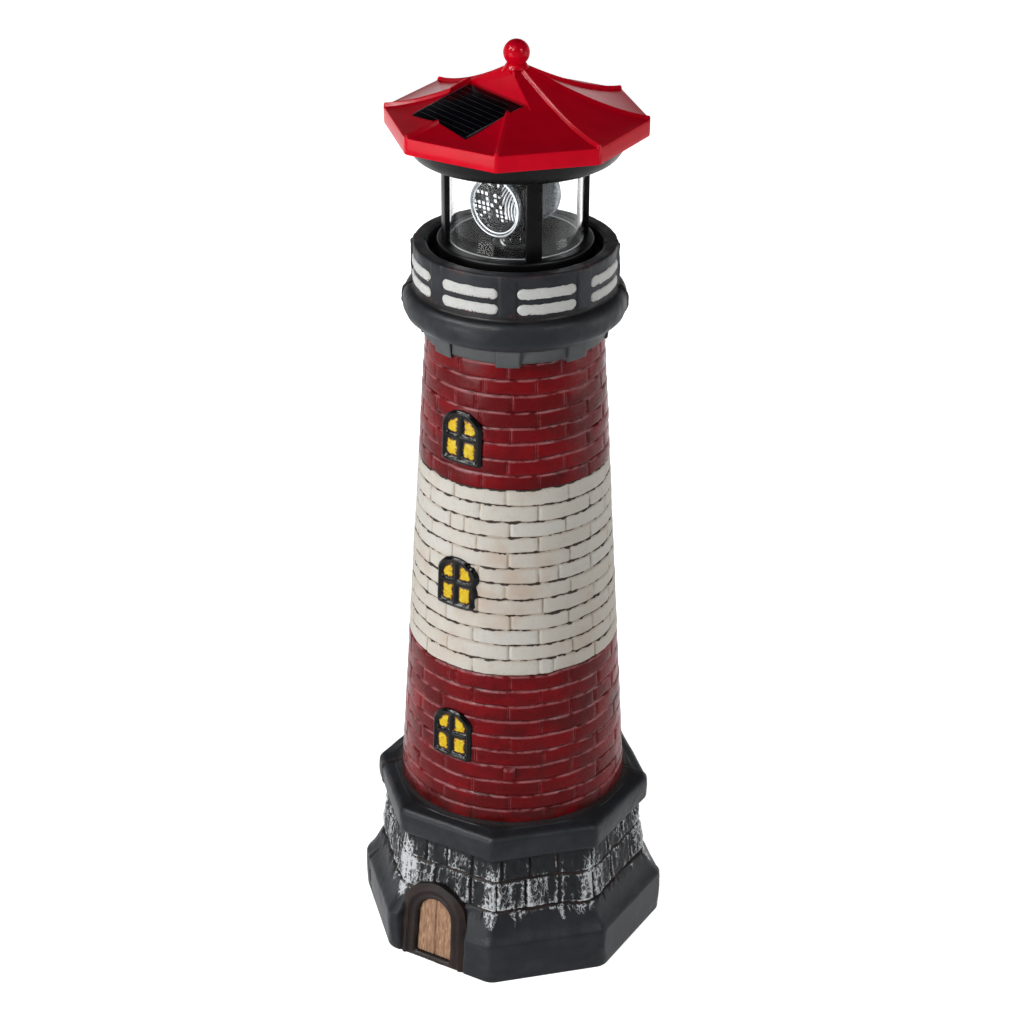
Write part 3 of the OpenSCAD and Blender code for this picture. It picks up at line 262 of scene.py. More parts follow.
@dataclass(frozen=True)
class ChalkyLimePaint(Finish):
    """Flat white paint on cast stone, with brown wash left in the joints. It looks dry and dusty."""

    name: str = "chalky_lime_paint"

    def shader(self, tree: Tree) -> Socket:
        """Off-white with beige stains, broken brown lines in the bed joints and tan upright joints."""
        gap, side, tone = mark(tree, "gap"), mark(tree, "side"), mark(tree, "tone")
        # The wash reaches further where it has run, and is gone where the joint is bare
        blob = work(tree, "MULTIPLY_ADD", patches(tree, 6, 0.34, 0.74, (1, 1, 0.6)), 1.25, 0.16)
        reach = work(tree, "SUBTRACT", blob, work(tree, "MULTIPLY", patches(tree, 22, 0.52, 0.64), 0.7))
        joint = work(tree, "MULTIPLY", level(tree, side, 3.2, 0.8), patches(tree, 15, 0.5, 0.6))
        reach = work(tree, "MULTIPLY_ADD", joint, 0.45, reach)
        upright = work(tree, "MULTIPLY", level(tree, side, 1.1, 0.2), patches(tree, 10, 0.3, 0.62))
        flecks = work(tree, "MULTIPLY", patches(tree, 1.8, 0.74, 0.78), patches(tree, 26, 0.5, 0.6))
        coats = [
            (level(tree, tone, -0.1, -1.0), "#CDC4B7", 0.35),
            (level(tree, tone, 0.1, 1.0), "#DCDDDB", 0.35), (patches(tree, 42, 0.52, 0.72), "#CBB29E", 0.6),
            (patches(tree, 4, 0.5, 0.8), "#C6B9A9", 0.4), (patches(tree, 1.2, 0.5, 0.75), "#B9AFA2", 0.25),
            (level(tree, gap, 1.6, 0.3), "#B8A28C", 0.5), (upright, "#9F8972", 0.8),
            (level(tree, work(tree, "SUBTRACT", gap, reach), 0.16, -0.08), "#33231A", 1),
            (flecks, "#5A4636", 1), (mark(tree, "smudge"), "#D9B22A", 1),
        ]
        return self.surface(tree, lay_over(tree, "#DAD5CB", coats), 0.72, 0.3, (0.9, 0.09, 0.8), 1.45)


@dataclass(frozen=True)
class SatinCharcoalEnamel(Finish):
    """Charcoal enamel on cast stone. It is smooth, faintly blue, and rusty where it has rubbed."""

    name: str = "satin_charcoal_enamel"
    base: str = "#26282C"
    light: str = "#36393F"
    dark: str = "#141518"

    def clouds(self, tree: Tree) -> list[Coat]:
        """Cloudy lighter strokes and darker spots, which lie under the other coats."""
        light = patches(tree, 26, 0.4, 0.7, (1, 1, 0.6))
        return [(light, self.light, 0.55), (patches(tree, 9, 0.5, 0.8), self.dark, 0.35)]

    def shader(self, tree: Tree) -> Socket:
        """Charcoal with painted shade and dark joints in the hollows, and rust flecks on the rubbed edges."""
        rub = work(tree, "MULTIPLY", mark(tree, "rub"), patches(tree, 1.7, 0.52, 0.6, (1, 1, 0.7)))
        rub = work(tree, "MULTIPLY", rub, patches(tree, 22, 0.45, 0.6))
        # The hollow mark is painted shade in creases and recesses, with dark joints and cracks
        coats = [*self.clouds(tree), (mark(tree, "hollow"), "#17110F", 0.85), (rub, "#6E3327", 1)]
        rough = self.cloudy(tree, patches(tree, 15, 0.3, 0.7), 0.36, 0.52)
        return self.surface(tree, lay_over(tree, self.base, coats), rough, 0.14, (1.6, 0.07, 0.6), 1.48)


@dataclass(frozen=True)
class DryBrushedStonePaint(SatinCharcoalEnamel):
    """Charcoal enamel with white dragged dry over rough stone, so that only the ridges take it."""

    name: str = "dry_brushed_stone_paint"

    def shader(self, tree: Tree) -> Socket:
        """Charcoal that turns to near black stone with brown joints and broken white strokes."""
        stone, frost = mark(tree, "stone"), mark(tree, "frost")
        crumbs = work(tree, "MULTIPLY_ADD", patches(tree, 2.0, 0.25, 0.75, (0.8, 0.8, 1.7), 4), 0.5, frost)
        # Worn ridges between small pits show as thin winding lines
        winding = work(tree, "SUBTRACT", patches(tree, 4.2, 0.0, 1.0, (0.8, 0.8, 1.5), 3), 0.5)
        winding = level(tree, work(tree, "ABSOLUTE", winding), 0.085, 0.02)
        winding = work(tree, "MULTIPLY", winding, level(tree, frost, 0.12, 0.5))
        dusty = work(tree, "MULTIPLY", level(tree, crumbs, 0.5, 0.85), 0.16)
        white = work(tree, "MAXIMUM", work(tree, "MAXIMUM", level(tree, crumbs, 0.82, 0.98), winding), dusty)
        speckle = work(tree, "MULTIPLY", mark(tree, "dust"), patches(tree, 1.3, 0.38, 0.6, detail=2))
        coats = [
            *self.clouds(tree),
            (stone, "#1B1C1E", 0.6),
            # Painted shade in the crease under the cornice, with dark joints and the seam crack
            (mark(tree, "hollow"), "#120E0D", 0.85),
            (work(tree, "MULTIPLY", mark(tree, "joint"), patches(tree, 11, 0.35, 0.6)), "#3A241B", 1),
            (white, "#DDE0E2", 0.92),
            (speckle, "#43302A", 0.7),
            (work(tree, "MULTIPLY", mark(tree, "rub"), patches(tree, 1.7, 0.52, 0.6)), "#6E3327", 0.7),
        ]
        rough = self.cloudy(tree, stone, 0.42, 0.5)
        return self.surface(tree, lay_over(tree, self.base, coats), rough, 0.14, (1.3, 0.1, 0.6), 1.48)


@dataclass(frozen=True)
class StainedWoodPaint(Finish):
    """Tan paint streaked along carved boards, so that it reads as dry oak."""

    name: str = "stained_wood_paint"

    def shader(self, tree: Tree) -> Socket:
        """Tan with upright grain, pale rubbed fibres, a dark joint and painted shade at the edges."""
        coats = [
            (patches(tree, 1.6, 0.4, 0.62, (1, 1, 9), 3), "#80563C", 0.7),
            (patches(tree, 1.0, 0.5, 0.7, (1, 1, 7), 2), "#D0AC88", 0.6),
            # The hollow mark: dark board joint, and painted shade at the leaf's edges
            (patches(tree, 6, 0.5, 0.8), "#9C6B4E", 0.4), (mark(tree, "hollow"), "#38221A", 1),
        ]
        return self.surface(tree, lay_over(tree, "#A9805F", coats), 0.62, grain=(1.2, 0.08, 0.6))


@dataclass(frozen=True)
class GlossBlackEnamel(Finish):
    """Thick black enamel, brushed on while wet, so its edges stand up and catch the light."""

    name: str = "gloss_black_enamel"

    def shader(self, tree: Tree) -> Socket:
        """Near black, glossy, with silvery lines on the ledges: painted highlight and rubbed paint."""
        # Ledge lines: painted highlight, partly black rubbed through
        rubbed = work(tree, "MULTIPLY", mark(tree, "ledge"), patches(tree, 3, 0.42, 0.6))
        coats = [(patches(tree, 4, 0.5, 0.8), "#121214", 0.5), (rubbed, "#B9BCB8", 0.85)]
        return self.surface(tree, lay_over(tree, "#08080A", coats), 0.22, 0.14, (1.5, 0.08, 0.6))


@dataclass(frozen=True)
class AmberPanePaint(Finish):
    """Thick yellow paint dabbed into each pane over brown, so the pane looks lit from inside."""

    name: str = "amber_pane_paint"

    def shader(self, tree: Tree) -> Socket:
        """Bright yellow in the middle of a pane, orange brown and nearly black towards its edges."""
        ragged = work(tree, "MULTIPLY", patches(tree, 2.3, 0.3, 0.7), 0.7)
        ragged = work(tree, "ADD", mark(tree, "edge"), ragged)
        coats = [
            (patches(tree, 3.2, 0.45, 0.65), "#EBD844", 0.6),
            (level(tree, ragged, 0.5, 0.85), "#AE6F0A", 1),
            (level(tree, ragged, 0.8, 1.05), "#1F1006", 1),
        ]
        return self.surface(tree, lay_over(tree, "#E3BE0C", coats), 0.3, 0.2, (1.8, 0.12, 0.6))


@dataclass(frozen=True)
class BrushedWhitePaint(Finish):
    """Thick white paint on the raised bars of the gallery, with rust that shows at its lower edges."""

    name: str = "brushed_white_paint"

    def shader(self, tree: Tree) -> Socket:
        """Cool white with grey drags, and rust brown specks where the edge mark is high."""
        rust = work(tree, "MULTIPLY", mark(tree, "rust"), patches(tree, 1.5, 0.5, 0.58, detail=2))
        coats = [
            (patches(tree, 3, 0.45, 0.75, (1, 1, 0.4)), "#C3C4C0", 0.5),
            (patches(tree, 9, 0.5, 0.8), "#CFCABF", 0.4),
            (work(tree, "MULTIPLY", rust, patches(tree, 16, 0.46, 0.6)), "#6B3A2A", 1),
        ]
        return self.surface(tree, lay_over(tree, "#DCDDDA", coats), 0.55, 0.2, (1.2, 0.12, 0.6))


@dataclass(frozen=True)
class MouldedPlastic(Finish):
    """Injection-moulded plastic: even colour, a soft or bright polish from the mould, faint flow."""

    colour: str
    flow: str
    roughness: float
    gloss: float = 0.3
    wave: float = 0.03

    def shader(self, tree: Tree) -> Socket:
        """One colour with faint flow clouds and a very shallow waviness."""
        colour = lay_over(tree, self.colour, [(patches(tree, 18, 0.4, 0.7), self.flow, 0.6)])
        rough = self.cloudy(tree, patches(tree, 11, 0.3, 0.7), self.roughness * 0.85, self.roughness * 1.15)
        return self.surface(tree, colour, rough, self.gloss, (7, self.wave, 0.5), 1.52)


@dataclass(frozen=True)
class PolishedClearStyrene(Finish):
    """Clear polystyrene from a polished mould. It shows by its edges and by what it reflects."""

    tint: str = "#FDFEFE"
    roughness: float = 0.015
    cover: float = 0.0

    def shader(self, tree: Tree) -> Socket:
        """Clear plastic that lets the lamps through to what stands behind it."""
        sockets = {
            "Base Color": lay_over(tree, self.tint, [(patches(tree, 20, 0.5, 0.9), "#F3F5F7", 1)]),
            "Roughness": self.roughness,
            "IOR": 1.2,
            "Transmission Weight": 1.0 - self.cover,
        }
        clear = add_node(tree, "ShaderNodeBsdfPrincipled", sockets).outputs[0]
        through = add_node(tree, "ShaderNodeBsdfTransparent", {"Color": srgb("#F8F9FA")}).outputs[0]
        shadow = add_node(tree, "ShaderNodeLightPath").outputs["Is Shadow Ray"]
        return add_node(tree, "ShaderNodeMixShader", {0: shadow, 1: clear, 2: through}).outputs[0]


@dataclass(frozen=True)
class VacuumMetallisedStyrene(Finish):
    """Polystyrene with aluminium vapour laid on it: a bright mirror, with painted dark reflection on the gaps
    and some facets.
    """

    name: str = "metallised_styrene"

    def shader(self, tree: Tree) -> Socket:
        """Mirror silver, with painted dark reflection where the facet mark is high."""
        # The facet mark paints dark reflections onto gaps, facets and bar stripes
        dark = level(tree, mark(tree, "facet"), 0.3, 0.7)
        coats = [(dark, "#060607", 1), (patches(tree, 6, 0.6, 0.85), "#9DA1A6", 1)]
        colour = lay_over(tree, "#E6E8EA", coats)
        return self.surface(tree, colour, 0.2, 0.1, metallic=work(tree, "MULTIPLY_ADD", dark, -0.6, 0.6))


@dataclass(frozen=True)
class WorkedMetal(Finish):
    """Drawn, turned or stamped metal, with the fine lines that the tool left."""

    colour: str
    line: str
    strength: float
    roughness: float

    def shader(self, tree: Tree) -> Socket:
        """Metal with faint bands of brighter and duller polish."""
        bands = patches(tree, 2, 0.35, 0.7, (1, 1, 0.2), 2)
        colour = lay_over(tree, self.colour, [(bands, self.line, self.strength)])
        rough = self.cloudy(tree, bands, self.roughness * 0.7, self.roughness * 1.3)
        return self.surface(tree, colour, rough, grain=(0.8, 0.02, 0.6), metallic=1.0)


@dataclass(frozen=True)
class ResinCoatedSilicon(Finish):
    """Blue-black silicon strips under a layer of clear resin, dark and wet-looking."""

    name: str = "resin_coated_silicon"

    def shader(self, tree: Tree) -> Socket:
        """Blue black with cloudy crystals under a hard gloss."""
        colour = lay_over(tree, "#07080C", [(patches(tree, 3, 0.45, 0.7), "#10131C", 0.7)])
        return self.surface(tree, colour, 0.2, 0.04, (9, 0.03, 0.6))


@dataclass(frozen=True)
class MattPaper(Finish):
    """Seamless studio paper: pale, even, without gloss. Its shadow stays."""

    name: str = "studio_paper"

    def shader(self, tree: Tree) -> Socket:
        """Pale paper that reads as white to the camera and keeps the object's soft shadow."""
        paper = add_node(tree, "ShaderNodeBsdfDiffuse", {"Color": srgb("#E9E9E9")}).outputs[0]
        glow = add_node(tree, "ShaderNodeEmission", {"Color": srgb("#FFFFFF"), "Strength": 0.92}).outputs[0]
        lit = add_node(tree, "ShaderNodeAddShader", {0: paper, 1: glow}).outputs[0]
        ray = add_node(tree, "ShaderNodeLightPath")
        seen = work(tree, "MAXIMUM", ray.outputs["Is Camera Ray"], ray.outputs["Is Transmission Ray"])
        seen = work(tree, "MAXIMUM", seen, ray.outputs["Is Glossy Ray"])
        return add_node(tree, "ShaderNodeMixShader", {0: seen, 1: paper, 2: lit}).outputs[0]


RED_ENAMEL = BrushedRedEnamel()
LIME_PAINT = ChalkyLimePaint()
CHARCOAL = SatinCharcoalEnamel()
GREY_BAND = SatinCharcoalEnamel("satin_grey_enamel", "#585B5C", "#6A6D6E", "#404344")
UMBER_FRAME = SatinCharcoalEnamel("satin_umber_enamel", "#261D1B", "#3C2F2B", "#151010")
STONE_PAINT = DryBrushedStonePaint()
DOOR_WOOD = StainedWoodPaint()
WINDOW_BLACK = GlossBlackEnamel()
AMBER_PANE = AmberPanePaint()
SLOT_WHITE = BrushedWhitePaint()
ROOF_RED = MouldedPlastic("polished_red_abs", "#E60426", "#D80320", 0.17, 0.06, 0.05)
LANTERN_BLACK = MouldedPlastic("satin_black_abs", "#0B0B0C", "#121213", 0.3, 0.08)
PLATE_BLACK = MouldedPlastic("polished_black_abs", "#060607", "#0B0B0D", 0.36, 0.14)
HOUSING_BLACK = MouldedPlastic("textured_black_abs", "#191A1B", "#202122", 0.5)
GEAR_WHITE = MouldedPlastic("natural_acetal", "#E8E6DE", "#DEDBD0", 0.4)
SLEEVE_GREEN = MouldedPlastic("green_shrink_sleeve", "#2F7A45", "#276A3B", 0.3)
LAMINATE = MouldedPlastic("green_glass_laminate", "#1F5A34", "#1A4D2C", 0.35)
LEAD_RED = MouldedPlastic("red_vinyl_lead", "#A3201E", "#8E1B19", 0.45)
LED_RESIN = MouldedPlastic("cast_epoxy_lamp", "#F1EFD8", "#E8E5C6", 0.15)
TINNED_WIRE = MouldedPlastic("tinned_panel_wire", "#3A3D41", "#2A2C30", 0.3, 0.1)
# Grey for the panel's resin edges: painted highlight
RESIN_EDGE_HIGHLIGHT = MouldedPlastic("poured_resin_bead", "#6E6F72", "#3E4042", 0.25, 0.2)
CLEAR = PolishedClearStyrene("polished_clear_styrene")
# Pale, partly clouded clear plastic for the painted highlight at the tube's foot
CLEAR_FOOT_HIGHLIGHT = PolishedClearStyrene("clear_styrene_edge", "#E4E7EA", 0.12, 0.32)
SMOKE = PolishedClearStyrene("smoked_clear_styrene", "#9BA0A5", 0.08, 0.25)
SILVER = VacuumMetallisedStyrene()
STEEL = WorkedMetal("drawn_steel", "#B9BCC0", "#8F9296", 1, 0.28)
BRASS = WorkedMetal("stamped_brass", "#C39A4B", "#6E5320", 0.4, 0.25)
SILICON = ResinCoatedSilicon()
PAPER = MattPaper()


# ---------------------------------------------------------------- numbers and outlines


def mottle(x: Array, y: Array, z: Array | float, grain: float, seed: int, octaves: int = 1) -> Array:
    """Smooth noise in space, the same on every run.

    Args:
        x: first coordinate.
        y: second coordinate.
        z: third coordinate.
        grain: distance in which the noise changes, in the unit of the coordinates.
        seed: picks one noise out of many.
        octaves: layers, each half as coarse and half as strong as the one before.

    Returns:
        Values from -1 to 1, in the common shape of the coordinates.
    """
    place = np.stack(np.broadcast_arrays(x, y, z)).astype(float) / grain
    total = np.zeros(place.shape[1:])
    share, whole = 1.0, 0.0
    for octave in range(octaves):
        cell = np.floor(place).astype(np.int64)
        part = place - cell
        part = part * part * (3 - 2 * part)
        for corner in range(8):
            step = np.array([corner & 1, corner >> 1 & 1, corner >> 2 & 1])
            step = step.reshape((3,) + (1,) * (place.ndim - 1))
            weight = np.where(step == 1, part, 1 - part).prod(0)
            key = ((cell + step) * np.array([374761393, 668265263, 1274126177]).reshape(step.shape)).sum(0)
            key = (key + (seed + octave * 101) * 1013904223) & 0xFFFFFFFF
            key = ((key ^ (key >> 13)) * 1274126177) & 0xFFFFFFFF
            total += share * weight * (((key ^ (key >> 16)) / 0xFFFFFFFF) * 2 - 1)
        whole += share
        share /= 2
        place = place * 2
    return total / whole


def ease(value: Array | float, start: float, full: float) -> Array:
    """Smooth step of numbers.

    Args:
        value: the numbers.
        start: where the step is 0. It may lie above full.
        full: where the step is 1.

    Returns:
        Numbers from 0 to 1.
    """
    t = np.clip((np.asarray(value, float) - start) / (full - start), 0, 1)
    return t * t * (3 - 2 * t)


def bell(distance: Array, width: float) -> Array:
    """Bump that is 1 at a distance of 0 and fades over the width."""
    return np.exp(-((distance / width) ** 2))


def soften(corners: Corners, steps: int = 4, loop: bool = False) -> Outline:
    """Rounds the corners of an outline.

    Args:
        corners: x, y and how far from the corner its rounding starts; 0 keeps the corner.
        steps: stretches in each rounding.
        loop: the outline closes on itself.

    Returns:
        Points of the rounded outline.
    """
    made = []
    for i, (x, y, reach) in enumerate(corners):
        inner = loop or 0 < i < len(corners) - 1
        if not reach or not inner:
            made.append((x, y))
            continue
        here = np.array([x, y])
        ends = []
        for other in (corners[i - 1], corners[(i + 1) % len(corners)]):
            way = np.array(other[:2]) - here
            far = np.hypot(*way)
            ends.append(here + way / far * min(reach, far / 2))
        for t in np.linspace(0, 1, steps + 1):
            made.append(tuple(ends[0] * (1 - t) ** 2 + here * 2 * t * (1 - t) + ends[1] * t * t))
    return made


def spaced(outline: Outline, gap: float, loop: bool = False) -> Outline:
    """Adds points along an outline until none are further apart than the gap.

    Args:
        outline: the outline's points.
        gap: widest distance that stays.
        loop: the outline closes on itself.

    Returns:
        Points of the finer outline.
    """
    ends = outline[1:] + (outline[:1] if loop else [])
    made = []
    for (x0, y0), (x1, y1) in zip(outline, ends):
        count = max(1, math.ceil(math.hypot(x1 - x0, y1 - y0) / gap))
        made += [(x0 + (x1 - x0) * i / count, y0 + (y1 - y0) * i / count) for i in range(count)]
    return made if loop else made + [outline[-1]]


def arch_distance(u: Array, v: Array, width: float, height: float, rise: float) -> Array:
    """Signed distance to an upright arched outline whose foot is at v = 0.

    Args:
        u: distance from the arch's middle line.
        v: height above its foot.
        width: its width.
        height: its height at the middle.
        rise: how much of that the round top takes.

    Returns:
        Distances, below 0 inside.
    """
    big = (width * width / 4 + rise * rise) / (2 * rise)
    top = np.where(v > height - rise, np.hypot(u, v - height + big) - big, -big)
    return blunt(blunt(np.abs(u) - width / 2, -v, 2.0), top, 1.5)


def blunt(first: Array, second: Array, reach: float) -> Array:
    """Larger of two signed distances, with the corner between them rounded over the reach."""
    near = np.maximum(reach - np.abs(first - second), 0) / reach
    return np.maximum(first, second) + near * near * reach / 4


def swing(x: Array | float, y: Array | float, degrees: float) -> tuple:
    """Turns x and y about the vertical axis by an angle."""
    a = math.radians(degrees)
    return x * math.cos(a) - y * math.sin(a), x * math.sin(a) + y * math.cos(a)


def oval(x: float, y: float, wide: float, high: float, degrees: Array) -> Outline:
    """Points of an oval round x and y, at these angles from the first axis."""
    return [(x + wide * math.cos(a), y + high * math.sin(a)) for a in np.radians(degrees)]


# ---------------------------------------------------------------- meshes


def mesh_piece(
    name: str, points: Array, faces: list, finish: Finish, marks: dict[str, Array] | None = None,
    sharp: float = 40,
) -> Piece:
    """Makes a mesh object from points in millimetres.

    Args:
        name: the object's name.
        points: one row of x, y and z for each point.
        faces: lists of point numbers.
        finish: finish of the whole mesh.
        marks: values at the points that the finish reads, by name.
        sharp: angle in degrees above which an edge stays sharp.

    Returns:
        The object, at the frame's origin.
    """
    mesh = bpy.data.meshes.new(name)
    mesh.from_pydata((np.asarray(points, float) * MM).tolist(), [], faces)
    for key, values in (marks or {}).items():
        layer = mesh.attributes.new(key, "FLOAT", "POINT")
        layer.data.foreach_set("value", np.ascontiguousarray(values, np.float32).ravel())
    mesh.polygons.foreach_set("use_smooth", np.ones(len(mesh.polygons), bool))
    mesh.update()
    mesh.set_sharp_from_angle(angle=math.radians(sharp))
    mesh.materials.append(finish.material())
    piece = bpy.data.objects.new(name, mesh)
    bpy.context.scene.collection.objects.link(piece)
    return piece


def grid_faces(rows: int, columns: int, loop_rows: bool = False, loop_columns: bool = True) -> list:
    """Four-sided faces between the points of a grid.

    Args:
        rows: rows of points.
        columns: points in each row.
        loop_rows: the last row joins the first.
        loop_columns: the last point of a row joins its first.

    Returns:
        Lists of four point numbers.
    """
    r, c = np.meshgrid(
        np.arange(rows if loop_rows else rows - 1),
        np.arange(columns if loop_columns else columns - 1),
        indexing="ij",
    )
    r1, c1 = (r + 1) % rows, (c + 1) % columns
    quads = [r * columns + c, r * columns + c1, r1 * columns + c1, r1 * columns + c]
    return np.stack(quads, -1).reshape(-1, 4).tolist()


def round_piece(
    name: str, grid: Array, finish: Finish, marks: dict[str, Array] | None = None, tube: bool = False,
    sharp: float = 40,
) -> Piece:
    """Makes a closed solid from rings of points, the lowest ring first.

    Args:
        name: the object's name.
        grid: array of rings, points in a ring, and x, y, z.
        finish: finish of the whole solid.
        marks: values for each point of each ring, by name.
        tube: the last ring joins the first; otherwise both ends are closed by a fan.
        sharp: angle in degrees above which an edge stays sharp.

    Returns:
        The object.
    """
    rows, columns = grid.shape[:2]
    points = grid.reshape(-1, 3)
    faces = grid_faces(rows, columns, loop_rows=tube)
    marks = {key: np.broadcast_to(value, (rows, columns)) for key, value in (marks or {}).items()}
    flat = {key: value.ravel() for key, value in marks.items()}
    if not tube:
        low, high = len(points), len(points) + 1
        points = np.vstack([points, grid[0].mean(0), grid[-1].mean(0)])
        flat = {key: np.append(flat[key], [marks[key][0].mean(), marks[key][-1].mean()]) for key in flat}
        last = (rows - 1) * columns
        for c in range(columns):
            after = (c + 1) % columns
            faces.append([low, after, c])
            faces.append([high, last + c, last + after])
    return mesh_piece(name, points, faces, finish, flat, sharp)


def lathe(outline: Outline, columns: int = 160, turn: float = 0.0) -> Array:
    """Rings of points that an outline sweeps round the vertical axis.

    Args:
        outline: distance from the axis and height of each point.
        columns: points in each ring.
        turn: azimuth of the first point in degrees.

    Returns:
        Array of rings, points in a ring, and x, y, z.
    """
    r, z = np.array(outline, float).T
    a = np.radians(turn) + np.arange(columns) * 2 * np.pi / columns
    r = np.maximum(r, 0.02)[:, None]
    return np.stack([r * np.cos(a), r * np.sin(a), np.broadcast_to(z[:, None], (len(z), columns))], -1)


def relief(
    name: str, span: tuple[float, float, float, float], step: float, cover: Callable[[Array, Array], Array],
    place: Place, height: Place, root: float, finish: Finish,
    marks: Callable[[Array, Array, Array], dict[str, Array]],
) -> Piece:
    """Makes a raised solid with a clean outline on a curved or flat ground.

    Args:
        name: the object's name.
        span: lowest u, highest u, lowest v and highest v of the solid.
        step: distance between its points.
        cover: signed distance to its outline at u and v, below 0 inside.
        place: puts u, v and the height over the ground in space.
        height: height over the ground at u, v and a signed distance.
        root: how deep the solid reaches under the ground.
        finish: its finish.
        marks: values that the finish reads, at u, v and a signed distance.

    Returns:
        The object.
    """
    us = np.arange(span[0] - step, span[1] + 2 * step, step)
    vs = np.arange(span[2] - step, span[3] + 2 * step, step)
    u, v = np.meshgrid(us, vs)
    near, small = cover(u, v), step * 0.1
    slope_u = (cover(u + small, v) - cover(u - small, v)) / (2 * small)
    slope_v = (cover(u, v + small) - cover(u, v - small)) / (2 * small)
    steep = np.maximum(np.hypot(slope_u, slope_v), 0.3)
    quads = np.array(grid_faces(len(vs), len(us), loop_columns=False))
    around = near.ravel()[quads]
    quads = quads[(around.max(1) < 1.35 * step) & (around.min(1) < -0.3 * step)]
    snap = near > -0.3 * step
    u = np.where(snap, u - near * slope_u / steep**2, u)
    v = np.where(snap, v - near * slope_v / steep**2, v)
    near = np.where(snap, 0, near)
    used, quads = np.unique(quads, return_inverse=True)
    quads = quads.reshape(-1, 4)
    u, v, near = u.ravel()[used], v.ravel()[used], near.ravel()[used]
    top = place(u, v, height(u, v, near))
    low = place(u, v, np.full(u.shape, -root))
    count = len(u)
    edges = {(int(q[i]), int(q[(i + 1) % 4])) for q in quads for i in range(4)}
    walls = [[b, a, a + count, b + count] for a, b in sorted(edges) if (b, a) not in edges]
    faces = quads.tolist() + (quads[:, ::-1] + count).tolist() + walls
    flat = {key: np.tile(value, 2) for key, value in marks(u, v, near).items()}
    return mesh_piece(name, np.vstack([top, low]), faces, finish, flat, 50)


def block(name: str, size: Sequence[float], at: Matrix, round_by: float, finish: Finish) -> Piece:
    """Makes a block with rounded edges.

    Args:
        name: the object's name.
        size: its length along its own x, y and z.
        at: its place in millimetres.
        round_by: width of the rounded edge.
        finish: its finish.

    Returns:
        The object.
    """
    shape = bmesh.new()
    bmesh.ops.create_cube(shape, size=1.0, matrix=Matrix.Diagonal((*size, 1)))
    bmesh.ops.bevel(shape, geom=shape.edges[:], offset=round_by, segments=3, profile=0.5, affect="EDGES")
    shape.transform(at)
    points = np.array([v.co[:] for v in shape.verts])
    shape.verts.index_update()
    faces = [[v.index for v in face.verts] for face in shape.faces]
    shape.free()
    return mesh_piece(name, points, faces, finish, sharp=60)


def prism(outline: Outline, half: float) -> tuple[Array, list]:
    """Solid that a closed outline makes when it is stretched to both sides.

    Args:
        outline: x and z of its points, counter-clockwise as seen from -y.
        half: distance to each side along y.

    Returns:
        Points and faces.
    """
    count = len(outline)
    points = [(x, -half, z) for x, z in outline] + [(x, half, z) for x, z in outline]
    faces = [list(range(count)), list(range(2 * count - 1, count - 1, -1))]
    for i in range(count):
        j = (i + 1) % count
        faces.append([j, i, i + count, j + count])
    return np.array(points, float), faces


class Cut(Enum):
    """How one solid changes another."""

    TAKE = "DIFFERENCE"
    ADD = "UNION"
    SHARE = "INTERSECT"


def carve(piece: Piece, other: Piece, cut: Cut) -> Piece:
    """Changes a solid by another one, which is used up.

    Args:
        piece: solid that changes.
        other: solid that takes away from it, is added to it, or limits it.
        cut: which of these.

    Returns:
        The changed solid.
    """
    change = piece.modifiers.new("carve", "BOOLEAN")
    change.operation = cut.value
    change.solver = "EXACT"
    change.object = other
    graph = bpy.context.evaluated_depsgraph_get()
    made = bpy.data.meshes.new_from_object(piece.evaluated_get(graph))
    piece.modifiers.clear()
    piece.data = made
    bpy.data.objects.remove(other)
    return piece


def seat(piece: Piece, body: str, slot: str, *nodes: str) -> Piece:
    """Puts a finished piece on its body and reports it.

    Args:
        piece: the piece, in its place.
        body: name of the body that it rides on.
        slot: not used.
        nodes: names of the solids that it stands for.

    Returns:
        The piece.
    """
    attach(piece, body)
    if nodes:
        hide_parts(*nodes)
    log.info("%s rides on %s, %d faces", piece.name, body, len(piece.data.polygons))
    return piece


def seat_cast(piece: Piece) -> None:
    """Puts a piece of the painted casting on the tower."""
    seat(piece, "tower", "cast", "tower_shell")


def on_round(turn: float, radius: Callable[[Array], Array]) -> Place:
    """Ground of a relief that lies on a round wall.

    Args:
        turn: azimuth of its middle in degrees.
        radius: the wall's radius at a height.

    Returns:
        Function that puts u, v and a height over the wall in space.
    """

    def place(u: Array, v: Array, h: Array) -> Array:
        """Puts points in space: u along the wall, v up and h out of it."""
        far = np.sqrt(np.maximum((radius(v) + h) ** 2 - u * u, 0))
        return np.stack([*swing(far, u, turn), v], -1)

    return place


# ---------------------------------------------------------------- the tower


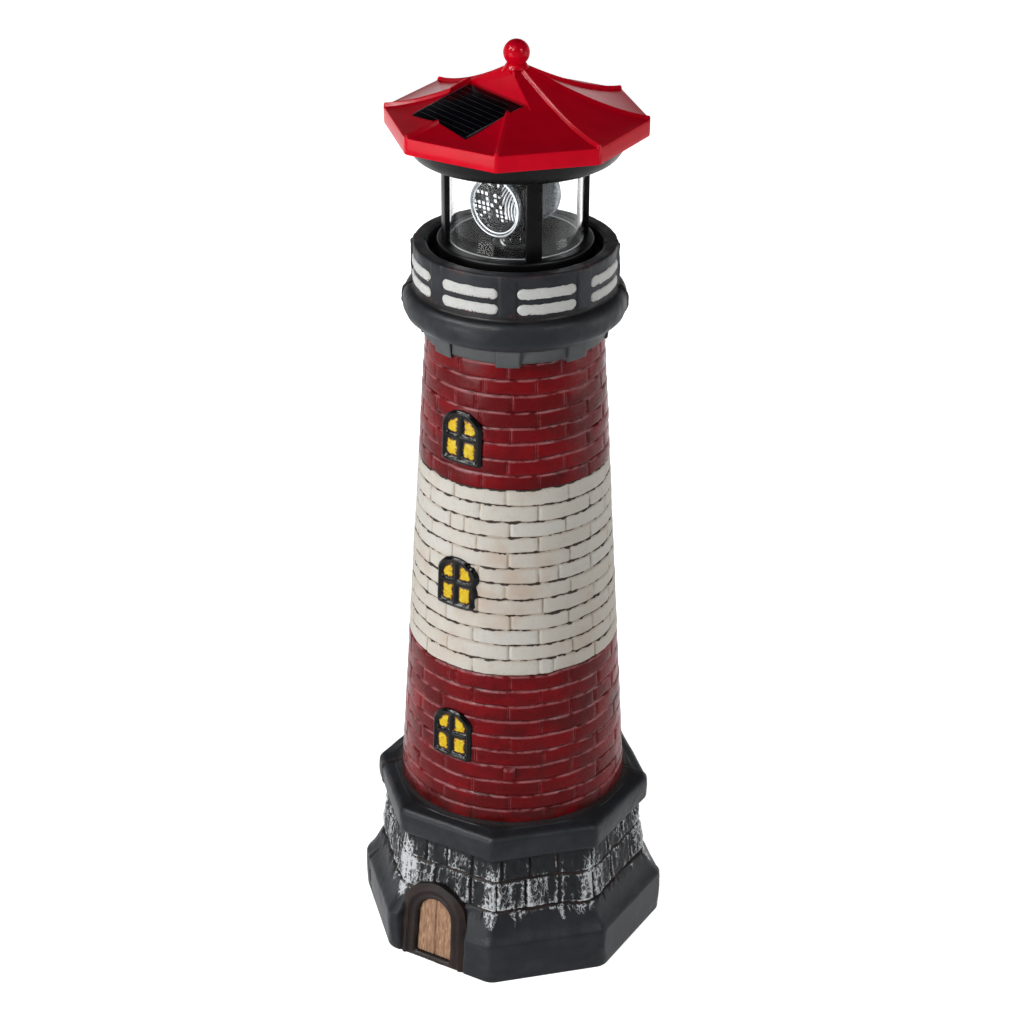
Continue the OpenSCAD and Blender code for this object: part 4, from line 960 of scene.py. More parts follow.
@dataclass
class Plinth:
    """Octagonal foot, skirt, rough stone wall and cornice, cast in one and painted."""

    door: "Door"
    wall_r: float = 92.0
    # Radius of the upright corners at a height
    corner_round: tuple[tuple[float, float], ...] = ((0, 12), (45, 12), (52, 14), (94, 12), (98, 8), (118, 8))
    columns: int = 672
    row_gap: float = 1.05
    block_courses: tuple[float, ...] = (34.0, 52.5, 76.5, 96.0)
    stones_round: tuple[int, ...] = (20, 24, 27)
    spills: tuple[float, ...] = (-113.0, -68.0, -57.0, -36.0, -29.0, 24.0)
    seams: tuple[float, ...] = (25.2, 209.3)

    def outline(self) -> Outline:
        """Corner radius and height of the plinth from the ground to the foot of the bricks."""
        corners = [
            (110.6, 0.0, 0), (111.4, 0.9, 0.4), (112.4, 20.0, 4), (112.0, 31.0, 1.8), (106.0, 38.0, 4),
            (102.0, 45.0, 4), (98.9, 52.0, 3), (93.5, 94.2, 0.8), (96.6, 95.2, 0.5), (99.6, 98.2, 1.6),
            (100.2, 107.0, 2.5), (99.8, 113.2, 1.7), (97.2, 116.0, 1.7), (88.0, 117.9, 1.5),
            (83.6, 118.3, 1.0), (81.5, 119.3, 0.8), (76.0, 121.0, 0),
        ]
        return spaced(soften(corners, 5), self.row_gap)

    def octagon(self, corner: Array, azimuth: Array, bend: Array) -> Array:
        """Distance from the axis to an octagon with rounded corners.

        Args:
            corner: radius of its corners before they are rounded.
            azimuth: directions in degrees.
            bend: radius of the rounding.

        Returns:
            Distances in these directions.
        """
        off, half = np.abs((azimuth % SIDE) - HALF_SIDE), math.radians(HALF_SIDE)
        middle, a = corner - bend / math.cos(half), np.radians(off)
        touch = np.degrees(np.arctan2(bend * math.sin(half), middle + bend * math.cos(half)))
        arc = middle * np.cos(a) + np.sqrt(np.maximum(bend**2 - (middle * np.sin(a)) ** 2, 0))
        return np.where(off < touch, arc, corner * math.cos(half) / np.cos(half - a))

    def stones(self, arc: Array, z: Array) -> tuple[Array, Array, Array]:
        """Distances to the joints of the stone wall.

        Args:
            arc: distance round the wall.
            z: heights.

        Returns:
            Distance to the nearest bed joint, to the nearest upright joint, and a number of the stone.
        """
        whole = 2 * math.pi * self.wall_r
        bed, upright, which = np.full(arc.shape, 99.0), np.full(arc.shape, 99.0), np.zeros(arc.shape)
        for i, (low, high) in enumerate(zip(self.block_courses, self.block_courses[1:])):
            wave = 1.1 * mottle(arc, i * 7.0, 0.0, 14, 31)
            inside = (z > low + wave) & (z <= high + wave)
            if i:
                bed = np.minimum(bed, np.abs(z - low - wave))
            pitch = whole / self.stones_round[i]
            place = arc / pitch + 0.37 * i + 0.22 * mottle(arc, i * 5.0, 3.0, pitch * 1.7, 37)
            off = np.abs(place - np.round(place)) * pitch
            upright = np.where(inside, off + 0.5 * np.abs(mottle(arc, z, 1.0, 4, 41)), upright)
            which = np.where(inside, np.floor(place - 0.5) + 100 * i, which)
        return bed, upright, which

    def build(self) -> None:
        """Builds the plinth as one displaced solid and seats it."""
        outline = np.array(self.outline())
        az = np.arange(self.columns) * 360 / self.columns
        corner, z = outline[:, :1], outline[:, 1:] + 0 * az
        rho = self.octagon(corner + 0 * az, az + 0 * corner, np.interp(z, *np.transpose(self.corner_round)))
        inward = ease(corner, 92.0, 83.0)
        rho = rho * (1 - inward) + corner * inward
        cos, sin = np.cos(np.radians(az)), np.sin(np.radians(az))
        arc, x0, y0 = np.radians(az) * self.wall_r + 0 * z, rho * cos, rho * sin

        stone = ease(z, 42.0, 52.0) * ease(z, 95.2, 93.6)
        bed, upright, which = self.stones(arc, z)
        tall = mottle(x0, y0, z / 2.4, 4.2, 3, 3)
        chips = 1 - 2 * np.abs(mottle(x0, y0, z / 1.5, 3.0, 9, 2))
        random = mottle(which * 3.7, 0.5, 0.5, 1.0, 21)
        groove = np.maximum(bell(bed, 0.95), 0.9 * bell(upright, 1.15))
        rock = 1.5 * tall + 0.45 * chips + 0.5 * random
        lumps = (0.5 * mottle(x0, y0, z, 17, 5, 2) + 0.12 * mottle(x0, y0, z, 4, 6)) * ease(z, 0.0, 6.0)
        ridge, crack = self.seam_lines(az, z, arc)
        out = stone * (rock * (1 - 0.75 * groove) - 1.7 * groove) + lumps + ridge * 0.7 - crack * 1.1
        flat_limit = self.door.limit / np.maximum(np.abs(cos), np.abs(sin))
        r = np.minimum(rho + out - 0.25 * (z < 60), flat_limit)
        grid = np.stack([r * cos, self.door.recess(r * cos, r * sin, z), z], -1)

        marks = {
            "stone": ease(z, 44.0, 54.0) * ease(z, 95.5, 93.0),
            "frost": self.frost(az, z, tall, chips, bed, upright, random),
            "joint": stone * np.maximum(bell(bed, 0.8), 0.6 * bell(upright, 0.6)),
            # Painted shade in the crease under the cornice, with the dark stone joints and the seam crack
            "hollow": np.maximum(bell(z - 95.0, 1.6), 0.7 * stone * groove) + 0.9 * crack,
            "dust": ease(corner, 88.0, 83.0) + 0 * z,
            "rub": 0.5 * bell(z - 113.5, 2.0) * ease(mottle(x0, y0, z, 20, 51), 0.1, 0.5) + 0.5 * ridge,
        }
        marks["hollow"] = np.clip(marks["hollow"], 0, 1)
        seat_cast(round_piece("plinth_casting", grid, STONE_PAINT, marks, sharp=75))

    def seam_lines(self, az: Array, z: Array, arc: Array) -> tuple[Array, Array]:
        """Ragged lines that the mould's halves left on the cornice and on the foot.

        Args:
            az: azimuths.
            z: heights.
            arc: distances round the plinth.

        Returns:
            Ridge, and the crack beside it.
        """
        ridge = np.zeros(z.shape)
        for seam in self.seams:
            bend = 1.2 * mottle(z, seam, 0.0, 5, 61)
            off = (np.radians((az - seam + 180) % 360 - 180) * 96) - bend
            ridge = np.maximum(ridge, bell(off, 1.1))
        ridge = ridge * (np.maximum(ease(z, 94.0, 97.0), ease(z, 46.0, 30.0)) * ease(z, 2.0, 6.0))
        return ridge, np.roll(ridge, 3, axis=1) * (mottle(arc, z, 0.0, 3, 67) > -0.2)

    def frost(
        self, az: Array, z: Array, tall: Array, chips: Array, bed: Array, upright: Array, random: Array,
    ) -> Array:
        """How ready the stone is to take the white that is dragged over it.

        Args:
            az: azimuths.
            z: heights.
            tall: upright ridges of the rock.
            chips: small ridges of the rock.
            bed: distance to the nearest bed joint.
            upright: distance to the nearest upright joint.
            random: a number of each stone.

        Returns:
            Values of which those near 1 turn white.
        """
        corner = bell((az + 4) % SIDE - HALF_SIDE - 4, 4.5)
        spill = 0.8 * ease(mottle(az, 5.0, 0.0, 8, 83), 0.4, 0.7)
        for place in self.spills:
            spill = np.maximum(spill, bell((az - place + 180) % 360 - 180, 3.0))
        low = 47.0 + 5.0 * mottle(az * 1.6, 0.0, 0.0, 3.4, 71, 2) - 9.0 * spill
        fade = ease(z, low, low + 9.0) * ease(z, 94.5, 90.0)
        strokes = mottle(az * 1.5, z / 9.0, 0.0, 1.9, 73, 2)
        rim = np.maximum(bell(upright - 2.3, 0.9), 0.9 * bell(bed - 1.9, 0.7))
        wide = mottle(az, z / 2.0, 0.0, 11, 75)
        heavy = 0.42 * corner * ease(z, 90.0, 80.0) + 0.34 * rim + 0.22 * random
        course = -0.18 * ease(z, 75.0, 79.0) * (1 - corner) - 0.34 * ease(z, 53.5, 51.5) * (1 - spill)
        ready = 0.07 + 0.28 * tall + 0.1 * chips + 0.26 * strokes + 0.2 * wide + heavy + course
        side = 0.2 * ease(np.cos(np.radians(az + 115)), 0.5, 0.95)
        side = side + 0.08 * ease(np.cos(np.radians(az)), 0.6, 0.95)
        return (ready + side) * fade - 0.5 * bell(np.minimum(bed, upright), 1.0)


@dataclass
class Door:
    """Arched door in the front of the plinth: a stepped surround and a boarded leaf."""

    shift: float = -7.0
    front: float = 103.3
    lean: float = 6.0
    width: float = 53.0
    height: float = 64.0
    frame: float = 12.5
    inset: float = 5.0
    limit: float = 102.9

    def place(self, u: Array, v: Array, h: Array) -> Array:
        """Puts points on the leaning face of the door.

        Args:
            u: distance to the right of its middle.
            v: distance up the face.
            h: distance out of it.

        Returns:
            Points in space, kept inside the foot's flat side.
        """
        c, s = math.cos(math.radians(self.lean)), math.sin(math.radians(self.lean))
        y = np.maximum(-self.front + v * s - h * c, -self.limit)
        return np.stack([u + self.shift, y, np.maximum(v * c + h * s, 0)], -1)

    def edge(self, u: Array, v: Array) -> Array:
        """Signed distance to the outside of the surround."""
        soft = 0.6 * mottle(u, v, 0.0, 9, 81)
        return arch_distance(u, v + 3.0, self.width, self.height + 3.0, self.width * 0.42) + soft

    def leaf_edge(self, u: Array, v: Array) -> Array:
        """Signed distance to the outline of the leaf."""
        width = self.width - 2 * self.frame
        spread = 1.0 + 0.16 * (0.55 - v / self.height)
        return arch_distance(u / spread, v - 4.5, width, self.height - self.frame - 4.5, width * 0.42)

    def recess(self, x: Array, y: Array, z: Array) -> Array:
        """Sets the plinth back behind the door and its surround.

        Args:
            x: plinth's points.
            y: their distance along y.
            z: their heights.

        Returns:
            New distances along y.
        """
        c, s = math.cos(math.radians(self.lean)), math.sin(math.radians(self.lean))
        u, v = x - self.shift, z / c
        edge, leaf = self.edge(u, v), self.leaf_edge(u, v)
        behind = -self.front + v * s + 3.0 + 4.5 * ease(leaf, 3.0, 1.2) - 7.0 * ease(edge, -0.4, 2.6)
        return np.where((y < -60) & (edge < 2.6), np.maximum(y, behind), y)

    def surround_height(self, u: Array, v: Array, near: Array) -> Array:
        """Height of the surround: a fat round moulding, then a step down to the leaf."""
        outer = -self.edge(u, v)
        inner = self.leaf_edge(u, v)
        roll = 0.4 - 2.6 * (1 - ease(outer, -1.0, 5.0))
        step = -1.5 * ease(inner, 7.2, 5.6) + 0.6 * bell(inner - 1.9, 1.1) - 1.6 * ease(inner, 0.9, -0.2)
        return roll + step + 0.25 * mottle(u, v, 0.0, 6, 83, 2)

    def build(self) -> None:
        """Builds the surround and the leaf and seats them."""
        half = self.width / 2
        piece = relief(
            "door_surround",
            (-half, half, 0.3, self.height),
            0.75,
            lambda u, v: np.maximum(blunt(self.edge(u, v), -self.leaf_edge(u, v) - 0.4, 0.5), 0.4 - v),
            self.place,
            self.surround_height,
            16.0,
            UMBER_FRAME,
            self.surround_marks,
        )
        seat_cast(piece)
        piece = relief(
            "door_leaf",
            (-half, half, 0.0, self.height),
            0.5,
            lambda u, v: self.leaf_edge(u, v) - 0.9,
            self.place,
            self.leaf_height,
            14.0,
            DOOR_WOOD,
            self.leaf_marks,
        )
        seat_cast(piece)

    def surround_marks(self, u: Array, v: Array, near: Array) -> dict[str, Array]:
        """Painted shade in the step beside the leaf. Nothing on the surround is rubbed."""
        inner = self.leaf_edge(u, v)
        return {"hollow": 0.8 * bell(inner - 5.0, 1.6) + ease(inner, 0.7, 0.0), "rub": 0 * u}

    def leaf_marks(self, u: Array, v: Array, near: Array) -> dict[str, Array]:
        """Dark joint between the boards, and painted shade at the leaf's edges."""
        joint = 0.8 * bell(u + 0.3 * mottle(v, 0.0, 0.0, 3, 87), 0.4)
        # Painted shade at the leaf's edges, beside the surround
        return {"hollow": np.clip(joint + ease(near, -1.6, -0.3), 0, 1)}

    def leaf_height(self, u: Array, v: Array, near: Array) -> Array:
        """Height of the leaf: two boards with upright grain and a joint between them."""
        grain = 0.28 * mottle(u * 2.6, v / 7, 0.0, 1.6, 85, 2)
        return -self.inset + 0.6 + grain - 0.9 * bell(u, 0.6) - 0.5 * ease(near, -1.5, 0)


@dataclass
class BrickTower:
    """Tapered brick shaft in three painted zones, each brick raised between its joints."""

    low_r: float = 80.6
    top_r: float = 60.2
    foot_z: float = 117.4
    head_z: float = 463.0
    zones: tuple[tuple[str, int, float], ...] = (("low", 10, 11.8), ("middle", 12, 11.5), ("top", 8, 11.2))
    per_brick: int = 48
    bricks_round: int = 10
    odd_joint: float = -3.0
    even_joint: float = 15.0
    bed_depth: float = 1.05
    upright_depth: float = 0.85
    # Short bricks that the front shows: course, counted from the foot, and azimuth from the front
    short_bricks: tuple[tuple[int, float], ...] = ((7, 49.0), (9, -32.0), (10, 22.5), (16, 26.0), (19, -30.0))
    # Share of a course's height at each row of points, closer together near the joints
    rows: tuple[float, ...] = (
        0, 0.03, 0.06, 0.095, 0.14, 0.21, 0.32, 0.46, 0.6, 0.72, 0.81, 0.87, 0.915, 0.955
    )

    def radius(self, z: Array) -> Array:
        """Radius of the shaft over its bricks at a height."""
        return self.low_r + (self.top_r - self.low_r) * (z - self.foot_z) / (self.head_z - self.foot_z)

    def beds(self) -> list[float]:
        """Height of each bed joint from the cornice to the gallery."""
        made = [self.foot_z]
        for _, count, high in self.zones:
            made += [made[-1] + high * (i + 1) for i in range(count)]
        return made

    def joint_columns(self, course: int) -> Array:
        """Columns of points at which a course has its upright joints.

        Args:
            course: the course, counted from the foot.

        Returns:
            Sorted column numbers, with column 0 at the front.
        """
        columns = self.per_brick * self.bricks_round
        first = self.odd_joint if course % 2 else self.even_joint
        shift = np.random.default_rng(500 + course).integers(-2, 3, self.bricks_round)
        per_degree = columns / 360
        joints = (first + 36 * np.arange(self.bricks_round)) * per_degree + shift
        joints = np.append(joints, [a * per_degree for c, a in self.short_bricks if c == course])
        if course % 5 == 2:
            joints = np.append(joints, (first + 150 + 7 * course) * per_degree)
        return np.unique(np.round(joints).astype(int) % columns)

    def build(self) -> None:
        """Builds the three zones and the small brick that stands out, and seats them."""
        first = 0
        for name, count, _ in self.zones:
            finish = LIME_PAINT if name == "middle" else RED_ENAMEL
            seat_cast(self.zone(f"bricks_{name}", first, count, finish))
            first += count
        self.knob()

    def zone(self, name: str, first: int, count: int, finish: Finish) -> Piece:
        """Builds one painted zone of the shaft.

        Args:
            name: the object's name.
            first: its lowest course.
            count: how many courses it has.
            finish: its paint.

        Returns:
            The object.
        """
        columns = self.per_brick * self.bricks_round
        step = 360 / columns
        az = FRONT + np.arange(columns) * step
        beds = self.beds()
        rings, marks = [], {"gap": [], "side": [], "crest": [], "tone": [], "grime": [], "smudge": []}
        for course in range(first, first + count):
            low = beds[course] + self.wave(az, course)
            high = beds[course + 1] + self.wave(az, course + 1)
            joints = self.joint_columns(course)
            off = (np.arange(columns)[:, None] - joints + columns / 2) % columns - columns / 2
            nearest = np.abs(off).argmin(1)
            off = off[np.arange(columns), nearest]
            brick = np.searchsorted(joints, np.arange(columns), side="right") % len(joints)
            pull = np.interp(np.abs(off), [0, 1, 2, 3, 4], [0, 0.42, 0.55, 0.3, 0]) * np.sign(off)
            dice = np.random.default_rng(900 + course).uniform(-1, 1, (3, len(joints)))
            shares = self.rows + ((1.0,) if course == first + count - 1 else ())
            for share in shares:
                z = low + (high - low) * share
                over, under = z - low, high - z
                fade = ease(np.minimum(over, under), 0.1, 1.0)
                wide = 2 * math.pi * self.radius(z) / columns
                turn = np.radians(az - pull * step * fade)
                side = np.abs(off - pull) * wide
                rings.append(self.ring(turn, z, over, under, side, dice[:, brick], finish))
                marks["gap"].append(np.minimum(over, under))
                marks["side"].append(side)
                # Upper edge of each brick, which takes the painted highlight and rubbed paint
                marks["crest"].append(ease(under, 2.1, 1.3) * ease(under, 0.25, 0.75))
                marks["tone"].append(dice[0, brick])
                marks["grime"].append(ease(z, 136.0, 118.0))
                marks["smudge"].append(0.8 * bell(np.hypot((az + 95.5) * 1.1, (z - 320.6) * 1.6), 3.4))
        for inward, down in ((0.94, 0.0), (0.92, -7.0)):
            rings.append(rings[-1] * (inward, inward, 1) + (0, 0, down))
            marks = {key: [*rows, rows[-1]] for key, rows in marks.items()}
        marks = {key: np.array(rows) for key, rows in marks.items()}
        return round_piece(name, np.array(rings), finish, marks, sharp=80)

    def wave(self, az: Array, course: int) -> Array:
        """How far a bed joint wanders from its level, none at the ends of the shaft."""
        if course in (0, len(self.beds()) - 1):
            return np.zeros(az.shape)
        a = np.radians(az)
        joints = self.joint_columns(course)
        brick = np.searchsorted(joints, np.arange(len(az)), side="right") % len(joints)
        lift = np.random.default_rng(700 + course).uniform(-0.45, 0.45, len(joints))[brick]
        lift = sum(np.roll(lift, k) for k in range(-2, 3)) / 5
        return lift + 0.6 * mottle(np.cos(a) * 9, np.sin(a) * 9, course * 3.0, 2.2, 11, 2)

    def ring(
        self, turn: Array, z: Array, over: Array, under: Array, side: Array, dice: Array, finish: Finish,
    ) -> Array:
        """Points of one ring round the shaft.

        Args:
            turn: azimuths in radians.
            z: heights.
            over: distance above the bed joint below.
            under: distance below the bed joint above.
            side: distance to the nearest upright joint.
            dice: three random numbers of the brick at each point.
            finish: paint, of which the chalky one lies rougher.

        Returns:
            One row of x, y and z for each point.
        """
        base = self.radius(z)
        x, y = base * np.cos(turn), base * np.sin(turn)
        rough = 0.07 if isinstance(finish, ChalkyLimePaint) else 0.02
        depth = self.bed_depth * (0.75 + 0.4 * mottle(x, y, z, 8, 13))
        bed = np.maximum(bell(over, 0.62), bell(under, 1.0))
        joint = 1 - (1 - bed) * (1 - self.upright_depth / self.bed_depth * bell(side, 0.75))
        swell = 0.22 * (1 - (1 - 2 * over / (over + under)) ** 4) * ease(side, 0.0, 3.0)
        dents = 0.16 * mottle(x, y, z * 1.4, 7.5, 17, 2) + rough * mottle(x, y, z, 1.6, 19)
        tilt = 0.12 * dice[2] * (over - under) / (over + under)
        r = base + 0.2 * dice[1] + tilt + swell + dents - depth * joint
        return np.stack([r * np.cos(turn), r * np.sin(turn), z], -1)

    def knob(self) -> None:
        """Builds the small brick that stands out at the front and seats it."""
        turn, low, high, half = -61.0, 153.2, 163.6, 4.1
        piece = relief(
            "knob_brick",
            (-half, half, low, high),
            0.5,
            lambda u, v: blunt(np.abs(u) - half, np.abs(v - (low + high) / 2) - (high - low) / 2, 2.0),
            on_round(turn, self.radius),
            lambda u, v, near: 3.0 - 1.5 * ease(near, -1.6, 0.0) - 0.9 * ease(v, high - 3, low),
            3.0,
            RED_ENAMEL,
            lambda u, v, near: {
                "gap": 5 + 0 * u,
                "side": 5 + 0 * u,
                "crest": ease(v, high - 2.6, high - 1.4),
                "tone": 0.8 + 0 * u,
                "grime": 0 * u,
            },
        )
        seat_cast(piece)


@dataclass
class Window:
    """Arched window on the bricks: a fat black frame with a cross, and four painted panes."""

    name: str
    z: float
    ragged: float = 0.35
    turn: float = -93.0
    width: float = 31.5
    height: float = 37.5
    bar: float = 4.2
    tower: BrickTower = None

    def edge(self, u: Array, v: Array) -> Array:
        """Signed distance to the outside of the frame, ragged as the paint is."""
        foot = self.z - self.height / 2
        wander = (0.25 + self.ragged * ease(u, 6.0, 13.0)) * mottle(u, v, 0.0, 5.0, 91, 2)
        return arch_distance(u, v - foot, self.width, self.height, self.width * 0.32) + wander

    def pane(self, u: Array, v: Array) -> Array:
        """Signed distance to the edge of the nearest pane, below 0 inside one."""
        foot = self.z - self.height / 2 + self.bar
        width = self.width - 2 * self.bar
        arch = arch_distance(u, v - foot, width, self.height - 2 * self.bar, width * 0.32)
        cross = blunt(self.bar / 2 - np.abs(u), self.bar / 2 - np.abs(v - self.z), 1.2)
        return blunt(arch, cross, 1.2) + 0.25 * mottle(u, v, 0.0, 3, 93)

    def frame_height(self, u: Array, v: Array, near: Array) -> Array:
        """Height of the frame: a bead round the outside, a ledge within, and round bars."""
        outer, inner = -self.edge(u, v), self.pane(u, v)
        body = 1.3 + 0.9 * ease(np.minimum(outer, inner), 0.0, 1.7)
        return body + 0.5 * bell(outer - 1.6, 1.1) - 0.35 * bell(outer - 3.2, 0.5)

    def build(self) -> None:
        """Builds the frame and the panes and seats them."""
        half, foot = self.width / 2, self.z - self.height / 2
        span = (-half - 1, half + 1, foot - 1, foot + self.height + 1)
        place = on_round(self.turn, self.tower.radius)
        piece = relief(
            f"window_{self.name}_frame",
            span,
            0.42,
            lambda u, v: np.maximum(self.edge(u, v), -self.pane(u, v)),
            place,
            self.frame_height,
            2.5,
            WINDOW_BLACK,
            lambda u, v, near: {"ledge": self.ledges(u, v)},
        )
        seat_cast(piece)
        piece = relief(
            f"window_{self.name}_panes",
            span,
            0.5,
            lambda u, v: self.pane(u, v) - 0.7,
            place,
            lambda u, v, near: 0.95 + 0.3 * ease(near, -0.5, -3.0) + 0.15 * mottle(u, v, 0.0, 2, 95),
            2.0,
            AMBER_PANE,
            lambda u, v, near: {"edge": ease(near, -3.0, -0.6)},
        )
        seat_cast(piece)

    def ledges(self, u: Array, v: Array) -> Array:
        """Thin lines over the sill and the cross bar: painted highlight, and black rubbed through."""
        inner = bell(self.pane(u, v) - 0.35, 0.35)
        low = bell(v - (self.z - self.height / 2 + self.bar), 1.0)
        middle = bell(v - (self.z + self.bar / 2), 1.0)
        return inner * np.clip(low + 0.7 * middle, 0, 1)


@dataclass
class Gallery:
    """Corbels, band, rounded ring and parapet, with the socket that carries the lamp head."""

    ring_r: float = 63.4
    ring_z: float = 485.0
    section: float = 11.4
    parapet_r: float = 67.5
    top_z: float = 526.5
    socket_r: float = 58.0
    ledge_z: float = 515.0
    recess_r: float = 52.4
    recess_z: float = 462.0
    band_r: float = 61.8
    brick_z: float = 463.0
    band_z: float = 473.0
    turn: float = 4.0
    slot_long: float = 41.2
    slot_high: float = 7.6
    slot_rows: tuple[tuple[str, float], ...] = (("upper", 514.4), ("lower", 503.7))
    corbel_w: float = 16.5
    columns: int = 432
    seams: tuple[float, ...] = (25.2, 209.3)

    def crown_outline(self) -> Outline:
        """Section of the ring, the parapet and the socket, from under the ring to the recess floor."""
        arc = []
        for a in np.radians(np.linspace(-112, 56, 34)):
            # Fuller than a circle over its middle, so that it keeps a shoulder
            full = 2 / 2.9 if a > 0 else 2 / 2.2
            out = math.copysign(abs(math.cos(a)) ** full, math.cos(a))
            up = math.copysign(abs(math.sin(a)) ** full, math.sin(a))
            arc.append((self.ring_r + self.section * out, self.ring_z + self.section * up))
        r, top = self.parapet_r, self.top_z
        upper = [
            (r + 1.0, 495.6, 1.2), (r, 498.2, 1.0), (r, 511.6, 0), (r, top - 0.4, 1.5), (r - 1.6, top, 0.6),
            (self.socket_r + 1.4, top, 1.2), (self.socket_r, top - 1.6, 1.2),
            (self.socket_r, self.ledge_z, 0.5), (self.recess_r, self.ledge_z, 0.6),
            (self.recess_r, self.recess_z, 0.8), (2.0, self.recess_z, 0),
        ]
        under = [(2.0, 457.5), (55.0, 457.5), (55.0, 476.0)]
        return spaced(under + arc[:-1] + soften([(*arc[-1], 0), *upper], 4), 1.6)

    def build(self) -> None:
        """Builds the crown casting, the band, the corbels and the white bars, and seats them."""
        self.crown()
        self.band()
        for k in range(SIDES):
            self.corbel(k, HALF_SIDE + self.turn + k * SIDE)
            for row, (name, z) in enumerate(self.slot_rows):
                self.bar(f"gallery_bar_{name}_{k}", self.turn + k * SIDE, z, k + SIDES * row)

    def crown(self) -> None:
        """Builds the ring and the parapet as one closed casting."""
        grid = lathe(self.crown_outline(), self.columns)
        x, y, z = np.moveaxis(grid, -1, 0)
        r, az = np.hypot(x, y), np.degrees(np.arctan2(y, x))
        outside = ease(r, self.socket_r - 3, self.socket_r + 2)
        off = (az - self.turn) % SIDE - HALF_SIDE
        post = ease(np.abs(off), 5.0, 4.2) * ease(z, 497.0, 499.0) * ease(r, 65.0, 66.5)
        lumps = 0.42 * mottle(x, y, z, 15, 101, 2) + 0.14 * mottle(x, y, z, 4, 103)
        ridge = np.zeros(z.shape)
        for seam in self.seams:
            away = np.radians((az - seam + 180) % 360 - 180) * 68 - 0.9 * mottle(z, r, seam, 5, 107)
            ridge = np.maximum(ridge, bell(away, 1.0))
        ridge = ridge * outside
        crack = np.roll(ridge, 2, axis=1)
        scale = 1 + (outside * lumps + 0.55 * post + 1.3 * ridge - 1.8 * crack) / np.maximum(r, 20)
        lift = outside * 0.25 * mottle(x, y, 0.0, 13, 109) * ease(z, 520.0, 526.0)
        grid = np.stack([x * scale, y * scale, z + lift], -1)
        # Painted shade along the sides of the parapet's posts
        side = bell(np.abs(np.abs(off) - 5.0), 0.7) * ease(z, 498.0, 500.0) * ease(z, 524.0, 521.0)
        worn = bell(z - 525.9, 1.2) * ease(r, 60.0, 66.5) + 0.6 * bell(z - 499.5, 1.5)
        marks = {
            "rub": np.clip(worn, 0, 1) * outside,
            # Painted shade beside the posts and in the crease over the ring, with the dark seam crack
            "hollow": np.clip(0.6 * side * outside + bell(z - 496.8, 1.6) * outside + 0.9 * crack, 0, 1),
        }
        seat_cast(round_piece("gallery_crown", grid, CHARCOAL, marks, sharp=75))

    def band(self) -> None:
        """Builds the plain grey band that the corbels grow out of."""
        r = self.band_r
        corners = [
            (54.9, self.brick_z + 0.3, 0), (r - 0.2, self.brick_z + 0.2, 0.8), (r, self.brick_z + 1.0, 0.6),
            (r, 478.5, 0), (54.9, 478.6, 0),
        ]
        grid = lathe(spaced(soften(corners, 3), 1.6), self.columns)
        x, y, z = np.moveaxis(grid, -1, 0)
        push = 1 + 0.3 * mottle(x, y, z, 11, 111, 2) / np.maximum(np.hypot(x, y), 20)
        grid = np.stack([x * push, y * push, z], -1)
        # Painted shade under the ring and in the crease at the band's foot
        marks = {"rub": 0 * z, "hollow": 0.8 * ease(z, 470.0, 475.5) + 0.4 * ease(z, 465.0, 463.2)}
        seat_cast(round_piece("gallery_band", grid, GREY_BAND, marks, tube=True))

    def corbel(self, k: int, azimuth: float) -> None:
        """Builds one wedge-shaped corbel.

        Args:
            k: its number.
            azimuth: direction in which it stands.
        """
        low, half = self.brick_z - 3.4, self.corbel_w / 2
        mid, tall = (low + self.ring_z) / 2, self.ring_z - 2 - low
        # The corbel grows out of a flat face inside the band
        flat_x = 58.0
        far = self.band_r + 2.2 - flat_x
        piece = relief(
            f"gallery_corbel_{k}",
            (-half, half, low, low + tall),
            0.8,
            lambda u, v: blunt(np.abs(u) - half, np.abs(v - mid) - tall / 2, 1.0)
            + 0.25 * mottle(u, v, k * 9.0, 6, 113),
            lambda u, v, h: np.stack([*swing(flat_x + h, u, azimuth), v], -1),
            lambda u, v, near: far - 1.4 * ease(v, self.band_z, low) - 0.7 * ease(near, -0.9, 0.0)
            + 0.15 * mottle(u, v, k * 5.0, 5, 115),
            4.0,
            GREY_BAND,
            lambda u, v, near: {
                "rub": 0 * u,
                # Painted shade under the ring and along the corbel's sides
                "hollow": 0.8 * ease(v, 471.0, 475.0) + 0.7 * ease(near, -0.7, 0.0),
            },
        )
        seat_cast(piece)

    def bar(self, name: str, azimuth: float, z: float, number: int) -> None:
        """Builds one white bar on the parapet, with an edge as ragged as its paint.

        Args:
            name: the object's name.
            azimuth: direction of its middle.
            z: height of its middle.
            number: picks how its edge wanders.
        """
        half, high = self.slot_long / 2 - 0.4, self.slot_high / 2
        piece = relief(
            name,
            (-half - 1, half + 1, z - high - 1, z + high + 1),
            0.5,
            lambda u, v: np.hypot(np.maximum(np.abs(u) - half + high, 0), v - z)
            - high
            + 0.55 * mottle(u, v, number * 11.0, 3.2, 121, 2)
            + 0.3,
            on_round(azimuth, lambda v: np.full(np.shape(v), self.parapet_r)),
            lambda u, v, near: 0.75
            - 0.55 * ease(near, -1.0, 0.0)
            + 0.12 * mottle(u, v, number * 3.0, 2.5, 123),
            1.5,
            SLOT_WHITE,
            lambda u, v, near: {"rust": ease(near, -1.9, -0.3) * ease(v - z, 1.5, -1.5)},
        )
        seat_cast(piece)


# ---------------------------------------------------------------- the lamp head


